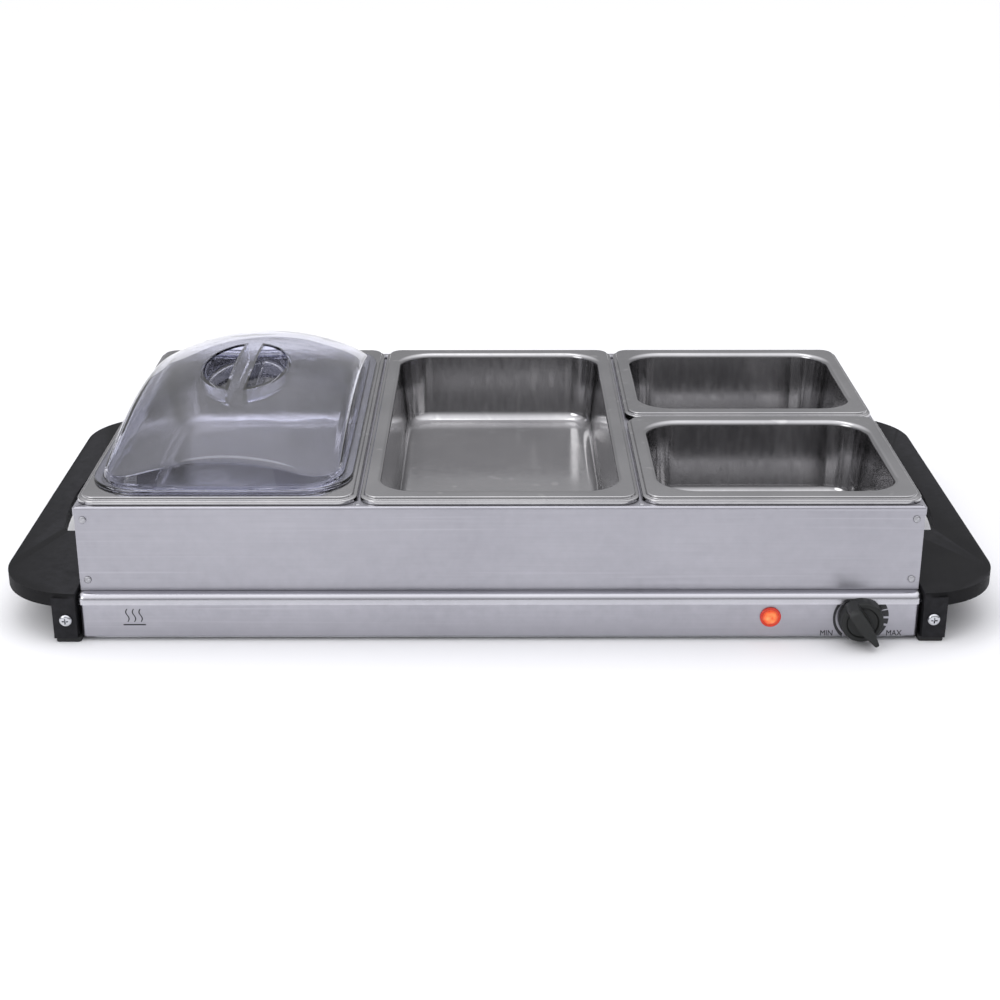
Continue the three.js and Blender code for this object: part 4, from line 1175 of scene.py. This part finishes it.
def arched(piece, base, crown):
    """Cuts a dome into small squares, and lowers it away from the middle in both directions."""
    edit(piece)
    half = (lid_high - lid_low) / 2
    for axis in (0, 1):
        count = int((half[axis] - LID_CORNER) / LID_MESH)
        for line in range(-count, count + 1):
            place = [0.0, 0.0, 0.0]
            way = [0.0, 0.0, 0.0]
            place[axis] = lid_middle[axis] + line * LID_MESH
            way[axis] = 1.0
            bpy.ops.mesh.select_all(action="SELECT")
            bpy.ops.mesh.bisect(plane_co=place, plane_no=way)
    let_go()
    for vertex in piece.data.vertices:
        share = max(0.0, vertex.co.z - base) / (crown - base)
        x = vertex.co.x - lid_middle.x
        y = vertex.co.y - lid_middle.y
        vertex.co.z -= share * (ARCH_ACROSS * x * x + ARCH_ALONG * y * y)


def dome_solid(name, inset, base, crown, corner):
    """A closed dome: a wall, a shoulder and a crown that the arch then bends."""
    low = lid_low + Vector((inset, inset, 0.0))
    high = lid_high - Vector((inset, inset, 0.0))
    solid = rounded_blank(name, low, high, base, corner, 12)
    go(DOME_DRAFT, crown - base - SHOULDER)
    roll(SHOULDER, 86, 6, 8)
    for _ in range(3):
        go(*CROWN_BAND)
    close_open_edges(solid)
    return solid


def finger_wells(grow):
    """The two half-oval wells as closed solids, or the same with room for a wall round them."""
    wells = []
    for side in (-1, 1):
        top = Vector((lid_middle.x, lid_middle.y, lid_high.z + WELL_OVERRUN))
        well = round_blank("well", top, 1.0, (math.pi, 0.0, 0.0), 72)
        bpy.ops.transform.resize(
            value=(WELL_HALF[0] + grow, WELL_HALF[1] + grow, 1.0), center_override=top
        )
        bottom = seat + WELL_FLOOR - grow
        go(WELL_DRAFT, top.z - bottom - WELL_ROLL)
        roll(WELL_ROLL, 88, 0, 6)
        close_open_edges(well)
        bpy.ops.mesh.select_all(action="SELECT")
        bpy.ops.mesh.bisect(
            plane_co=(lid_middle.x + side * (BAR_HALF - grow), 0.0, 0.0),
            plane_no=(side, 0.0, 0.0), use_fill=True, clear_inner=True,
        )
        wells.append(well)
    return wells


flange_top = seat + LID_SHEET
crown_top = seat + LID_CROWN
crown_under = crown_top - LID_SHEET
dome_corner = LID_CORNER - FLANGE_WIDTH
lid = dome_solid("dome_lid_clear", FLANGE_WIDTH, seat + LID_SHEET / 2, crown_top, dome_corner)
arched(lid, flange_top, crown_top)
hollow = dome_solid("hollow", FLANGE_WIDTH + LID_SHEET, flange_top, crown_under, dome_corner - LID_SHEET)
arched(hollow, flange_top, crown_under)
for well in finger_wells(0.0):
    combine(lid, well, "DIFFERENCE")
for well in finger_wells(LID_SHEET):
    combine(hollow, well, "DIFFERENCE")
flange = rounded_blank("flange", lid_low, lid_high, seat, LID_CORNER, 14)
go(0.0, LID_SHEET - FLANGE_ROUNDING)
roll(FLANGE_ROUNDING, 90, 0, 4)
close_open_edges(flange)
combine(lid, flange, "UNION")
plug_inset = Vector((PLUG_INSET, PLUG_INSET, 0.0))
plug_corner = LID_CORNER - PLUG_INSET
plug = rounded_blank("plug", lid_low + plug_inset, lid_high - plug_inset, lid_low.z, plug_corner, 12)
go(0.0, PLUG_DEPTH + LID_SHEET / 2)
close_open_edges(plug)
combine(lid, plug, "UNION")
combine(lid, hollow, "DIFFERENCE")
bore_inset = plug_inset + Vector((PLUG_WALL, PLUG_WALL, 0.0))
bore = rounded_blank("bore", lid_low + bore_inset, lid_high - bore_inset, lid_low.z - BORE_OVERRUN,
                     plug_corner - PLUG_WALL, 12)
go(0.0, PLUG_DEPTH + 2 * LID_SHEET + MM)
close_open_edges(bore)
combine(lid, bore, "DIFFERENCE")


def clear_material():
    """Clear moulded plastic with a faint blue cast, a slightly wavy surface and fine handling haze."""
    material, tree, shader, place = blank_material("plastic_clear")
    skin = use_group(tree, brushing, place, Grain=(260.0, 260.0, 260.0), Patch_Scale=22.0)
    tone = spread(tree, skin.outputs["Patches"], 0.0, 1.0)
    tree.links.new(blend_colours(tree, tone, (0.84, 0.85, 0.96), (0.90, 0.905, 0.985)),
                   shader.inputs["Base Color"])
    tree.links.new(spread(tree, skin.outputs["Patches"], 0.015, 0.05), shader.inputs["Roughness"])
    shader.inputs["Transmission Weight"].default_value = 1.0
    shader.inputs["IOR"].default_value = 1.49
    add_bump(tree, shader, skin.outputs["Patches"], 0.3 * MM)
    return material


smooth(lid, 35.0)
fit(lid, "lid", "clear_plastic", clear_material(), "dome_lid")
